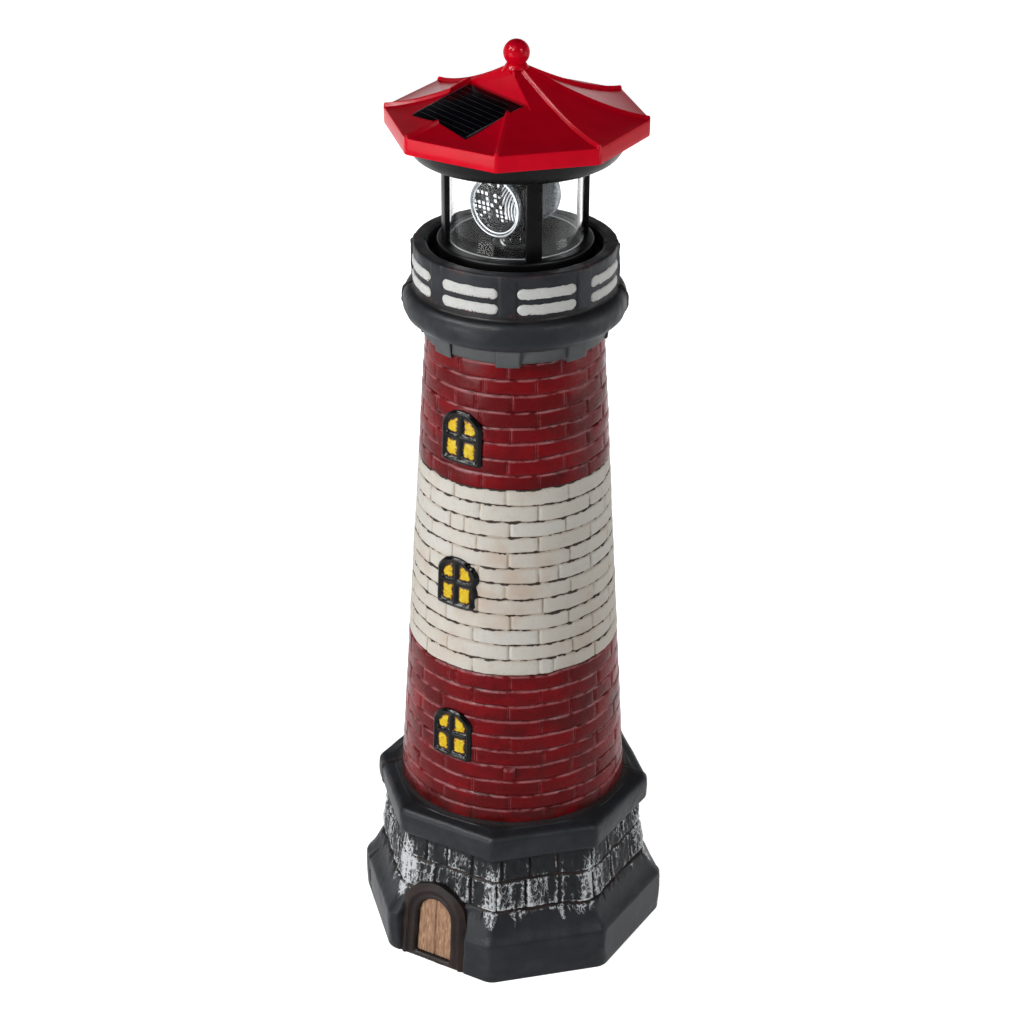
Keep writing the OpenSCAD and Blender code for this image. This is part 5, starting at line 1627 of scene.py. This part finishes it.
@dataclass
class Roof:
    """Red octagonal roof with eight ribs, the panel's pocket, the panel and the ball."""

    corner_r: float = 87.0
    rim_z: float = 601.7
    eave_z: float = 612.9
    rise: float = 33.0
    hollow: float = 1.5
    wall: float = 2.4
    rib: float = 2.3
    rib_half: float = 1.6
    least_r: float = 7.0
    crown_z: float = 644.4
    ball_z: float = 652.7
    ball_r: float = 8.6
    neck_r: float = 6.3
    panel_turn: float = -112.5
    panel_out: float = 38.4
    panel_rise: float = 9.0
    panel_slope: float = 14.7
    panel_w: float = 58.4
    panel_l: float = 46.8
    board_t: float = 1.9
    cell_t: float = 0.6
    gap: float = 0.4
    lip_end: float = 37.5
    margin: float = 1.0
    wires: int = 9

    def height(self, t: Array | float) -> Array | float:
        """Height of a facet over the eave, for a share of the corner radius."""
        return self.rise * (1 - t) ** self.hollow

    def ring(self, r: float, z: float, lift: float, bulge: float = 1.0) -> Array:
        """One level ring of the roof, with the ribs' rise at its corners.

        Args:
            r: corner radius.
            z: height.
            lift: height of the ribs there.
            bulge: share of the ribs' width.

        Returns:
            Points of the ring.
        """
        half = self.rib_half * bulge
        shares = np.linspace(-1, 1, 9)
        flats = np.linspace(0, 1, 12)[1:-1]
        made = []
        for k in range(SIDES):
            side = shares * half
            back = r - np.abs(side) * math.tan(math.radians(HALF_SIDE)) - 0.5 * (1 - np.abs(shares)) ** 2
            up = z + lift * np.cos(shares * np.pi / 2) ** 1.3
            made.append(np.stack([*swing(back, side, HALF_SIDE + k * SIDE), up], -1))
        ring = []
        for k in range(SIDES):
            here, after = made[k], made[(k + 1) % SIDES]
            ring.append(here)
            ring.append(here[-1] + (after[0] - here[-1]) * flats[:, None])
        return np.vstack(ring)

    def skin(self, inside: float) -> Array:
        """Rings of the roof's outside, or of the space under it.

        Args:
            inside: 0 for the outside, or the thickness by which the space lies within it.

        Returns:
            Array of rings, points and x, y, z.
        """
        r = self.corner_r - inside / math.cos(math.radians(HALF_SIDE))
        lift = 0.0 if inside else self.rib
        eave = self.eave_z - inside
        if inside:
            rows = [(r, self.rim_z - 1, 0.0), (r, eave - 0.1, 0.0)]
        else:
            rows = [
                (r - 0.9, self.rim_z, 0.0), (r - 0.25, self.rim_z + 0.25, 0.0), (r, self.rim_z + 0.9, 0.0),
                (r, self.rim_z + 4.5, 0.0), (r, eave - 3.0, 0.0), (r, eave - 0.9, lift * 0.85),
                (r - 0.22, eave - 0.25, lift * 0.97), (r - 0.8, eave + 0.02, lift),
            ]
        least = self.least_r / self.corner_r
        for t in 1 - (1 - least) * np.linspace(0.025, 1, 34) ** 1.15:
            rows.append((r * t, eave + self.height(t), lift))
        if not inside:
            rows.append((self.least_r - 0.6, self.crown_z - 0.3, lift * 0.3))
        return np.array([self.ring(*row) for row in rows])

    def pocket(self, grow: float) -> Piece:
        """Solid of the panel's pocket, or of the walls round it.

        Args:
            grow: 0 for the pocket, or the thickness of the walls.

        Returns:
            Object to carve with.
        """
        slope = math.radians(self.panel_slope)
        reach = self.panel_l / 2 + self.gap
        deep = self.board_t + self.cell_t
        low = self.panel_out + reach * math.cos(slope) + grow
        high = self.panel_out - reach * math.cos(slope) - deep * math.sin(slope) - grow * 0.6
        bed = self.eave_z + self.panel_rise - deep / math.cos(slope) - grow
        back = self.neck_r + 0.4 - grow * 0.6
        outline = [
            (low, bed - (low - self.panel_out) * math.tan(slope)), (low, self.ball_z), (back, self.ball_z),
            (back, self.eave_z + self.rise - 3.4 - grow * 0.6),
            (high, bed + (self.panel_out - high) * math.tan(slope)),
        ]
        points, faces = prism(outline, self.panel_w / 2 + self.gap + grow)
        x, y, z = points.T
        return mesh_piece("pocket_tool", np.stack([*swing(x, y, self.panel_turn), z], -1), faces, ROOF_RED)

    def panel_place(self, x: float, y: float, z: float) -> Matrix:
        """Place on the panel: x down its slope, y across it and z out of its face."""
        return (
            Matrix.Rotation(math.radians(self.panel_turn), 4, "Z")
            @ Matrix.Translation((self.panel_out, 0, self.eave_z + self.panel_rise))
            @ Matrix.Rotation(math.radians(self.panel_slope), 4, "Y")
            @ Matrix.Translation((x, y, z))
        )

    def build(self) -> None:
        """Builds the roof, the panel, the ball and the bowl under the roof, and seats them."""
        roof = round_piece("roof_cap", self.skin(0.0), ROOF_RED, sharp=30)
        carve(roof, round_piece("roof_space", self.skin(self.wall), ROOF_RED), Cut.TAKE)
        walls = carve(self.pocket(self.wall), round_piece("roof_limit", self.skin(0.0), ROOF_RED), Cut.SHARE)
        carve(roof, walls, Cut.ADD)
        carve(roof, self.pocket(0.0), Cut.TAKE)
        roof.data.polygons.foreach_set("use_smooth", np.ones(len(roof.data.polygons), bool))
        roof.data.set_sharp_from_angle(angle=math.radians(28))
        seat(roof, "head", "red", "roof_shell")
        self.lips()
        self.panel()
        self.ball()
        self.dish()

    def wall_line(self, y: float, foot: tuple[float, float], top: tuple[float, float]) -> tuple[float, float]:
        """Where the pocket's back wall comes out of the facet beside it.

        Args:
            y: distance across the panel.
            foot: x and z of the wall's foot.
            top: x and z of its top.

        Returns:
            The place's x and z.
        """
        x, z = foot
        for _ in range(12):
            share = max(x * math.cos(a) + y * math.sin(a) for a in np.radians([HALF_SIDE, HALF_SIDE + SIDE]))
            z = self.eave_z + float(self.height(share / math.cos(math.radians(HALF_SIDE)) / self.corner_r))
            x = top[0] + (top[1] - z) / (top[1] - foot[1]) * (foot[0] - top[0])
        return x, z

    def lips(self) -> None:
        """Builds the raised lips of the pocket's back wall, and the wall on its near side."""
        slope = math.radians(self.panel_slope)
        foot_x = self.panel_out - (self.panel_l / 2 + self.gap) * math.cos(slope) - 0.6
        deep = (self.board_t + self.cell_t) / math.cos(slope)
        foot = (foot_x, self.eave_z + self.panel_rise - deep + (self.panel_out - foot_x) * math.tan(slope))
        top = (self.neck_r + 0.4, self.eave_z + self.rise - 3.4)
        for side in (-1, 1):
            rings = []
            for y in np.linspace(6.0, self.lip_end, 24):
                x, z = self.wall_line(y, foot, top)
                high = 0.2 + 1.9 * float(ease(y, self.lip_end, self.lip_end - 12)) * float(ease(y, 5.0, 12.0))
                corners = [(0.0, -1.5, 0), (0.0, high, 0.5), (-2.0, high - 0.5, 0.5), (-2.6, -1.5, 0)]
                ring = [(x + px, side * y, z + pz) for px, pz in soften(corners, 3, loop=True)]
                rings.append([(*swing(px, py, self.panel_turn), pz) for px, py, pz in ring])
            grid = np.array(rings if side > 0 else rings[::-1])
            seat(round_piece(f"roof_lip_{side + 1}", grid, ROOF_RED, sharp=50), "head", "red")
        rings, edge = [], -self.panel_w / 2 - self.gap
        for x in np.linspace(-self.panel_l / 2 - 1.6, -6.0, 14):
            high = 3.4 * float(ease(x, -5.0, -11.0))
            corners = [(edge, -2.6, 0), (edge, high, 0.5)]
            corners += [(edge - 1.7, high - 0.3, 0.6), (edge - 2.4, -2.6, 0)]
            ring = soften(corners, 3, loop=True)
            rings.append([tuple(self.panel_place(x, y, z).translation) for y, z in ring])
        seat(round_piece("roof_side_wall", np.array(rings[::-1]), ROOF_RED, sharp=50), "head", "red")

    def panel(self) -> None:
        """Builds the panel's board, its coated cell, the fine wires that cross it, and grey edge strips of
        painted highlight.
        """
        size = (self.panel_l, self.panel_w, self.board_t)
        at = self.panel_place(0, 0, -self.cell_t - self.board_t / 2)
        seat(block("panel_board", size, at, 0.35, LANTERN_BLACK), "head", "matt", "solar_board")
        size = (self.panel_l - 2 * self.margin, self.panel_w - 2 * self.margin, self.cell_t)
        cell = block("panel_cell", size, self.panel_place(0, 0, -self.cell_t / 2), 0.22, SILICON)
        seat(cell, "head", "cell", "solar_cell")
        size = (0.34, self.panel_w - 4.4, 0.1)
        for i in range(self.wires):
            at = self.panel_place((i - (self.wires - 1) / 2) * (self.panel_l - 5) / self.wires, 0, 0.0)
            seat(block(f"panel_wire_{i}", size, at, 0.03, TINNED_WIRE), "head", "cell")
        # Grey strips on the resin edges: painted highlight along the panel's long sides
        for side in (-1, 1):
            at = self.panel_place(0.4, side * (self.panel_w / 2 - 0.45), -0.1)
            bead = block(f"panel_resin_edge_highlight_{side + 1}", (self.panel_l - 3.0, 0.5, 0.3), at, 0.1, RESIN_EDGE_HIGHLIGHT)
            seat(bead, "head", "cell")

    def ball(self) -> None:
        """Builds the ball with its flared neck."""
        start = math.degrees(math.acos((self.neck_r - 0.5) / self.ball_r))
        arc = oval(0, self.ball_z, self.ball_r, self.ball_r, np.linspace(-start, 89.5, 30))
        foot = soften(
            [
                (0.5, self.crown_z - 1.5, 0), (self.neck_r + 1.9, self.crown_z - 1.5, 0.4),
                (self.neck_r + 0.6, self.crown_z + 0.7, 1.2), (self.neck_r - 0.3, self.crown_z + 1.9, 0.8),
                (*arc[0], 0),
            ],
            4,
        )
        grid = lathe(foot[:-1] + arc, 96)
        seat(round_piece("roof_ball", grid, ROOF_RED, sharp=60), "head", "red", "finial_ball")

    def dish(self) -> None:
        """Builds the black bowl under the roof."""
        z, rim = 587.4, self.rim_z
        corners = [
            (0.5, z, 0), (66.0, z, 0), (67.5, z + 0.9, 1.0), (70.6, z + 5.0, 2.5), (74.8, rim - 1.0, 2.0),
            (76.0, rim + 3.0, 0.6), (73.6, rim + 3.0, 0.6), (72.2, rim - 1.0, 1.0), (68.2, z + 6.0, 2.0),
            (65.4, z + 2.4, 1.0), (0.5, z + 2.4, 0),
        ]
        grid = lathe(soften(corners, 4), 180)
        seat(round_piece("under_roof_bowl", grid, LANTERN_BLACK), "head", "black", "under_dish")


@dataclass
class Lantern:
    """Base plate, clear tube and the four flat posts between the gallery and the roof."""

    plate_z: float = 529.0
    dish_z: float = 587.4
    ledge_z: float = 515.0
    glass_r: float = 44.4
    glass_wall: float = 1.8
    post_in: float = 45.2
    post_t: float = 3.6
    post_w: float = 10.5

    def build(self) -> None:
        """Builds the lantern's pieces and seats them."""
        self.plate()
        self.glass()
        size = (self.post_t, self.post_w, self.dish_z - self.plate_z + 0.3)
        middle = Matrix.Translation((self.post_in + self.post_t / 2, 0, (self.dish_z + self.plate_z) / 2))
        names = {"front_right": -45, "back_right": 45, "back_left": 135, "front_left": -135}
        for name, azimuth in names.items():
            at = Matrix.Rotation(math.radians(azimuth), 4, "Z") @ middle
            piece = block(f"lantern_post_{name}", size, at, 0.5, LANTERN_BLACK)
            seat(piece, "head", "black", f"post_{name}")

    def plate(self) -> None:
        """Builds the round plate with its flange and its shallow bowl."""
        top, ledge = self.plate_z, self.ledge_z
        corners = [
            (0.5, 513.6, 0), (19.4, 513.6, 1), (28.0, 515.2, 3), (36.0, 520.0, 3), (42.6, 525.6, 1),
            (49.6, 526.2, 0.6), (49.6, ledge, 0), (57.2, ledge, 0.4), (57.2, ledge + 3.0, 0.9),
            (53.2, ledge + 3.0, 1.0), (52.0, ledge + 4.2, 1.0), (52.0, top, 1.8), (42.2, top, 0.6),
            (41.6, top - 1.0, 0.6), (37.0, 522.4, 3), (29.0, 518.0, 4), (18.4, 516.0, 2), (0.5, 516.0, 0),
        ]
        grid = lathe(soften(corners, 5), 192)
        seat(round_piece("lantern_plate", grid, PLATE_BLACK), "head", "black", "base_plate")

    def glass(self) -> None:
        """Builds the clear tube with rounded lips, and a pale bead at its foot that is painted highlight."""
        r, t, low, high = self.glass_r, self.glass_wall, self.plate_z - 0.9, self.dish_z + 0.9
        corners = [(r, low, 0.5), (r, high, 0.5), (r - t, high, 0.5), (r - t, low, 0.5)]
        outline = spaced(soften(corners, 3, loop=True), 12, loop=True)
        piece = round_piece("lantern_glass", lathe(outline, 192), CLEAR, tube=True, sharp=60)
        seat(piece, "head", "clear", "glass_tube")
        # Pale bead at the tube's foot: painted highlight for the bright line at the tube's bottom edge
        foot = oval(r - 0.2, self.plate_z + 0.2, 0.55, 0.45, np.arange(0, 360, 45))
        seat(round_piece("lantern_glass_foot", lathe(foot, 192), CLEAR_FOOT_HIGHLIGHT, tube=True), "head", "clear")


@dataclass
class Beam:
    """Turning hub with its clear toothed ring, carrier and two reflectors back to back."""

    turn: float = -97.0
    axis_z: float = 555.0
    hub_r: float = 15.4
    hub_z: float = 516.4
    hub_top: float = 525.0
    crown_r: float = 10.0
    crown_h: float = 5.4
    teeth: int = 12
    rim_r: float = 20.1
    face: float = 23.1
    back: float = 4.5
    led_r: float = 2.5
    carrier: tuple[float, float, float] = (9.0, 17.0, 17.0)
    cell: float = 3.5
    bar_pitch: float = 2.4

    def place(self, along: Array, y: Array, z: Array, rear: bool) -> Array:
        """Puts points given along a reflector's axis in space.

        Args:
            along: distance out from the axis of turning.
            y: distance to the right as seen from in front of the reflector.
            z: distance up.
            rear: the rear reflector is meant.

        Returns:
            Points in space.
        """
        return np.stack([*swing(along, y, self.turn + (180 if rear else 0)), self.axis_z + z], -1)

    def spin(self, outline: Outline, rear: bool, columns: int = 96) -> Array:
        """Rings that an outline, of radius and distance along the axis, sweeps round a reflector's axis."""
        rings = lathe(outline, columns)
        return self.place(rings[..., 2], rings[..., 0], rings[..., 1], rear)

    def build(self) -> None:
        """Builds the beam's pieces and seats them."""
        outline = soften(
            [
                (0.5, self.hub_z, 0), (self.hub_r, self.hub_z, 0.4), (self.hub_r, self.hub_top, 1.2),
                (self.crown_r + 0.6, self.hub_top, 0.3), (self.crown_r + 0.4, self.hub_top - 0.3, 0.2),
                (0.5, self.hub_top - 0.3, 0),
            ]
        )
        seat(round_piece("beam_hub", lathe(outline, 120), LANTERN_BLACK), "beam", "black", "hub")
        self.crown()
        self.carry()
        for rear in (False, True):
            self.reflector("rear" if rear else "front", rear)

    def crown(self) -> None:
        """Builds the clear ring with its square teeth."""
        per = 14
        columns = self.teeth * per
        phase = (np.arange(columns) % per) / per
        tooth = ease(np.abs(phase - 0.5), 0.16, 0.22)
        top = self.hub_top + self.crown_h * (0.45 + 0.55 * tooth)
        a = np.arange(columns) * 2 * np.pi / columns
        low = np.full(columns, self.hub_top - 0.1)
        # Distance within the ring's radius, and height
        rows = [(0, low), (0, top - 0.3), (0.3, top), (1.3, top), (1.6, top - 0.3), (1.6, low)]
        rows = [(self.crown_r - inward, z) for inward, z in rows]
        grid = np.array([np.stack([r * np.cos(a), r * np.sin(a), z], -1) for r, z in rows])
        seat(round_piece("beam_toothed_ring", grid, CLEAR, tube=True), "beam", "clear", "crown_ring")

    def carry(self) -> None:
        """Builds the carrier: a neck on the hub and a block between the reflectors."""
        at = Matrix.Translation((0, 0, self.axis_z)) @ Matrix.Rotation(math.radians(self.turn), 4, "Z")
        piece = block("beam_carrier_block", self.carrier, at, 1.2, LANTERN_BLACK)
        seat(piece, "beam", "black", "rotor_carrier")
        neck = self.crown_r - 3.4
        outline = soften(
            [
                (0.5, self.hub_top - 0.2, 0), (neck, self.hub_top - 0.2, 0), (neck, self.hub_top + 5, 0),
                (neck - 0.7, self.axis_z - 9, 1), (0.5, self.axis_z - 7.2, 0),
            ]
        )
        piece = round_piece("beam_carrier_neck", lathe(outline, 64), LANTERN_BLACK)
        seat(piece, "beam", "black", "rotor_carrier")

    def reflector(self, name: str, rear: bool) -> None:
        """Builds one reflector: smoked bowl, faceted mirror, clear front and lamp.

        Args:
            name: front or rear.
            rear: the rear one is meant.
        """
        rim, face, lamp, back = self.rim_r, self.face, self.led_r, self.back
        bowl = [(lamp + 0.4, back + 0.1), (lamp + 2.4, back + 0.1)]
        for t in np.linspace(0.06, 1, 14):
            wide = rim - 1.6 - lamp - 0.3
            bowl.append((lamp + 1.6 + wide * math.sqrt(t) * 0.98, back + 2.0 + (face - back - 5.2) * t))
        # Section of the rim: distance within its radius, and behind its face
        lip = ((0.3, 3.0), (0, 2.5), (0, 0.5), (0.4, 0.05), (0.9, 0), (1.3, 0.4), (1.6, 2.2))
        bowl += [(rim - r, face - deep) for r, deep in lip]
        inner = [(r - 1.2, a + 0.5) for r, a in bowl[2:-7]][::-1]
        piece = round_piece(f"reflector_{name}_bowl", self.spin(bowl + inner, rear), SMOKE, tube=True)
        seat(piece, "beam", "silver", f"reflector_{name}")
        self.mirror(name, rear)
        lens = rim - 0.9
        corners = [
            (0.3, face - 1.5, 0), (lens - 0.3, face - 1.5, 0.2), (lens, face - 1.0, 0.2),
            (lens - 0.6, face - 0.35, 0.4), (12.0, face, 3), (0.3, face + 0.1, 0),
        ]
        grid = self.spin(soften(corners), rear)
        seat(round_piece(f"reflector_{name}_front", grid, CLEAR), "beam", "clear", f"lens_{name}")
        outline = [(0.2, back - 2.6), (lamp + 0.4, back - 2.6), (lamp + 0.4, back - 1.6), (lamp, back - 1.5)]
        outline += oval(0, back + 5.4, lamp, lamp, np.linspace(0, 86, 10))
        grid = self.spin(outline, rear, 32)
        seat(round_piece(f"reflector_{name}_lamp", grid, LED_RESIN), "beam", "led", f"led_{name}")

    def mirror(self, name: str, rear: bool) -> None:
        """Builds the faceted mirror behind a clear front.

        Args:
            name: front or rear.
            rear: the rear one is meant.
        """
        reach = self.rim_r - 1.9
        piece = relief(
            f"reflector_{name}_mirror",
            (-reach, reach, -reach, reach),
            0.36,
            lambda u, v: np.hypot(u, v) - reach,
            lambda u, v, h: self.place(self.face - 3.4 + h, u, v, rear),
            self.mirror_height,
            1.6,
            SILVER,
            self.mirror_marks,
        )
        seat(piece, "beam", "silver")
        rims = ((self.rim_r - 0.6, self.face + 0.02, 0.5), (reach - 0.5, self.face - 1.52, 0.42))
        for k, (r, high, wide) in enumerate(rims):
            grid = self.spin(oval(r, high - 0.3, wide, 0.3, np.arange(0, 360, 30)), rear)
            piece = round_piece(f"reflector_{name}_rim_{k}", grid, SILVER, {"facet": np.zeros(1)}, tube=True)
            seat(piece, "beam", "silver")

    def facets(self, u: Array, v: Array) -> tuple[Array, ...]:
        """Lays out the mirror's small facets and the curved bars at its right.

        Args:
            u: distance to the right of the mirror's middle.
            v: distance above it.

        Returns:
            Place across a facet and up it, its random number, share of the bars, and their waves.
        """
        row = v / (self.cell * (1 - 0.25 * ease(v, 2.0, -14.0)))
        column = u / self.cell + 0.15 * row
        chance = mottle(np.round(column) * 1.7, np.round(row) * 1.7, 0.0, 1.0, 131)
        bars = ease(u + 0.35 * v - 0.02 * v * v, 5.0, 6.5) * ease(v, -9.0, -5.0)
        wave = np.cos((u - 0.03 * v * v) * 2 * np.pi / self.bar_pitch)
        return column - np.round(column), row - np.round(row), chance, bars, wave

    def mirror_height(self, u: Array, v: Array, near: Array) -> Array:
        """Pillow of each facet, tilted at random, with curved bars at the right."""
        across, up, chance, bars, wave = self.facets(u, v)
        pillow = 0.9 * (1 - (2 * across) ** 2) * (1 - (2 * up) ** 2) + 0.9 * chance * across
        return pillow * (1 - bars) + 0.7 * wave * bars

    def mirror_marks(self, u: Array, v: Array, near: Array) -> dict[str, Array]:
        """Paints dark reflection on the gaps between facets, on facets taken to face a dark corner, and on
        bar stripes.
        """
        across, up, chance, bars, wave = self.facets(u, v)
        edge = np.maximum(np.abs(across), np.abs(up)) * 2
        # More facets get painted dark reflection low down and near the top
        lower = 0.8 * ease(v, -3.0, -10.0) + 0.25 * ease(v, 6.0, 12.0)
        dark = np.clip(ease(edge, 0.54, 0.72) + ease(chance - lower, -0.2, -0.34), 0, 1)
        return {"facet": dark * (1 - bars) + ease(wave, 0.3, -0.3) * bars}


@dataclass
class Mechanism:
    """Hidden pieces under the plate, which keep their solids and get their finishes."""

    finishes = {
        HOUSING_BLACK: "mechanism_housing battery_door",
        GEAR_WHITE: "gearbox_plate output_gear second_gear first_gear",
        STEEL: "motor_shaft motor_can output_shaft gear_pins "
        "door_screw roof_screws housing_screws gearbox_screws",
        BRASS: "motor_pinion slip_rings brush_contacts battery_contacts",
        SLEEVE_GREEN: "battery_inner battery_outer",
        LAMINATE: "circuit_board",
        LEAD_RED: "panel_leads",
        CHARCOAL: "tower_shell",
        ROOF_RED: "roof_shell finial_ball",
        LANTERN_BLACK: "switch_slider switch_body solar_board under_dish rotor_carrier "
        "post_front_right post_back_right post_back_left post_front_left",
        PLATE_BLACK: "base_plate hub",
        SILICON: "solar_cell",
        CLEAR: "glass_tube crown_ring lens_front lens_rear",
        SMOKE: "reflector_front reflector_rear",
        LED_RESIN: "led_front led_rear",
    }

    def build(self) -> None:
        """Gives each solid its finish in every one of its material slots."""
        for finish, names in self.finishes.items():
            for name in names.split():
                for slot in frame["nodes"][name].material_slots:
                    slot.material = finish.material()
            log.info("%s get %s", names, finish.name)


# ---------------------------------------------------------------- the studio


@dataclass
class Studio:
    """Pale floor, soft lamps and the camera at the photograph's angle."""

    lens: float = 87.2
    away: float = 1534.18
    height: float = 1115.14
    pitch: float = 27.28
    yaw: float = -0.05
    roll: float = 0.3
    turn: float = 30.6

    def build(self) -> None:
        """Builds the floor, the world, the lamps and the camera."""
        self.camera()
        self.floor()
        self.world()
        self.lamp("left_softbox", 1700, -52, 1, (900, 720), 18)
        self.lamp("right_softbox", 1700, 86, 1, (700, 720), 8)
        self.lamp("high_softbox", 2000, -30, 60, (700, 700), 6)
        self.lamp("back_softbox", 1800, 172, 14, (1100, 800), 9, gloss=False)
        self.lamp("left_glint", 2000, -36, 40, (110, 700), 34, broad=False)
        self.lamp("right_glint", 2000, 48, 34, (90, 500), 18, broad=False)
        self.lamp("edge_glint", 2000, -72, 42, (640, 560), 44, broad=False)
        bpy.context.scene.view_settings.view_transform = "Standard"

    def camera(self) -> None:
        """Places the camera from its height, distance and angles."""
        th, ps, ro = (math.radians(v) for v in (self.pitch, self.yaw, self.roll))
        forward = Vector((math.sin(ps) * math.cos(th), math.cos(ps) * math.cos(th), -math.sin(th)))
        right = Vector((math.cos(ps), -math.sin(ps), 0))
        up = right.cross(forward)
        right, up = math.cos(ro) * right + math.sin(ro) * up, math.cos(ro) * up - math.sin(ro) * right
        axes = Matrix((right, up, -forward)).transposed().to_4x4()
        spin = Matrix.Rotation(math.radians(self.turn), 4, "Z")
        lens = bpy.data.cameras.new("photo_camera")
        lens.lens, lens.sensor_width = self.lens, 36
        lens.clip_start, lens.clip_end = 0.05, 50
        camera = bpy.data.objects.new("photo_camera", lens)
        camera.matrix_world = spin @ Matrix.Translation((0, -self.away * MM, self.height * MM)) @ axes
        bpy.context.scene.collection.objects.link(camera)
        bpy.context.scene.camera = camera

    def floor(self) -> None:
        """Lays the sheet of paper that the object stands on."""
        shape = bmesh.new()
        bmesh.ops.create_grid(shape, x_segments=8, y_segments=8, size=6)
        mesh = bpy.data.meshes.new("studio_floor")
        shape.to_mesh(mesh)
        shape.free()
        mesh.materials.append(PAPER.material())
        floor = bpy.data.objects.new("studio_floor", mesh)
        bpy.context.scene.collection.objects.link(floor)

    def world(self) -> None:
        """Sets a soft room light, which reads as plain white behind the object."""
        world = bpy.data.worlds.new("studio_room")
        world.use_nodes = True
        tree = world.node_tree
        tree.nodes.clear()
        way = add_node(tree, "ShaderNodeTexCoord").outputs["Generated"]
        up = add_node(tree, "ShaderNodeSeparateXYZ", {0: way}).outputs["Z"]
        # White sweep up to 17 degrees over the horizon, and a dark ceiling over it
        sky = lay_over(tree, "#FFFFFF", [(level(tree, up, 0.3, 0.68), "#3A3A3C", 1)])
        room = add_node(tree, "ShaderNodeBackground", {"Color": sky, "Strength": 0.3}).outputs[0]
        dark = lay_over(tree, "#FFFFFF", [(level(tree, up, 0.03, 0.42), "#242426", 1)])
        gloss = add_node(tree, "ShaderNodeBackground", {"Color": dark, "Strength": 1.0}).outputs[0]
        white = add_node(tree, "ShaderNodeBackground", {"Color": srgb("#FFFFFF"), "Strength": 1.0}).outputs[0]
        ray = add_node(tree, "ShaderNodeLightPath")
        through = work(tree, "MAXIMUM", ray.outputs["Is Camera Ray"], ray.outputs["Is Transmission Ray"])
        shiny = ray.outputs["Is Glossy Ray"]
        both = add_node(tree, "ShaderNodeMixShader", {0: shiny, 1: room, 2: gloss}).outputs[0]
        both = add_node(tree, "ShaderNodeMixShader", {0: through, 1: both, 2: white}).outputs[0]
        add_node(tree, "ShaderNodeOutputWorld", {"Surface": both})
        bpy.context.scene.world = world

    def lamp(
        self, name: str, far: float, side: float, lift: float, size: tuple[float, float], power: float,
        broad: bool = True, gloss: bool = True,
    ) -> None:
        """Hangs one soft lamp.

        Args:
            name: the lamp's name.
            far: its distance from the middle of the object.
            side: its azimuth from the front, to the right.
            lift: its angle above the horizon.
            size: width and height of its face.
            power: its power in watts.
            broad: it lights surfaces, and does not only glint in a gloss.
            gloss: it shows in a gloss.
        """
        a, e = math.radians(FRONT + side), math.radians(lift)
        middle = Vector((0, 0, 0.33))
        way = Vector((math.cos(a) * math.cos(e), math.sin(a) * math.cos(e), math.sin(e)))
        light = bpy.data.lights.new(name, "AREA")
        light.shape = "RECTANGLE"
        light.size, light.size_y = size[0] * MM, size[1] * MM
        light.energy = power
        lamp = bpy.data.objects.new(name, light)
        lamp.location = middle + way * far * MM
        lamp.visible_diffuse, lamp.visible_glossy = broad, gloss
        lamp.rotation_mode = "QUATERNION"
        lamp.rotation_quaternion = (-way).to_track_quat("-Z", "Y")
        bpy.context.scene.collection.objects.link(lamp)


def main() -> None:
    """Builds the studio and every sub-assembly in order, and writes how large the result is."""
    logging.basicConfig(level=logging.INFO, format="%(name)s: %(message)s")
    Studio().build()
    tower = BrickTower()
    door = Door()
    places = (("low", 183.4, 0.2), ("middle", 300.4, 1.6), ("top", 406.9, 0.1))
    windows = [Window(name, z, ragged, tower=tower) for name, z, ragged in places]
    for part in [Plinth(door), door, tower, *windows, Gallery(), Roof(), Lantern(), Beam(), Mechanism()]:
        part.build()


if __name__ == "__main__":
    main()
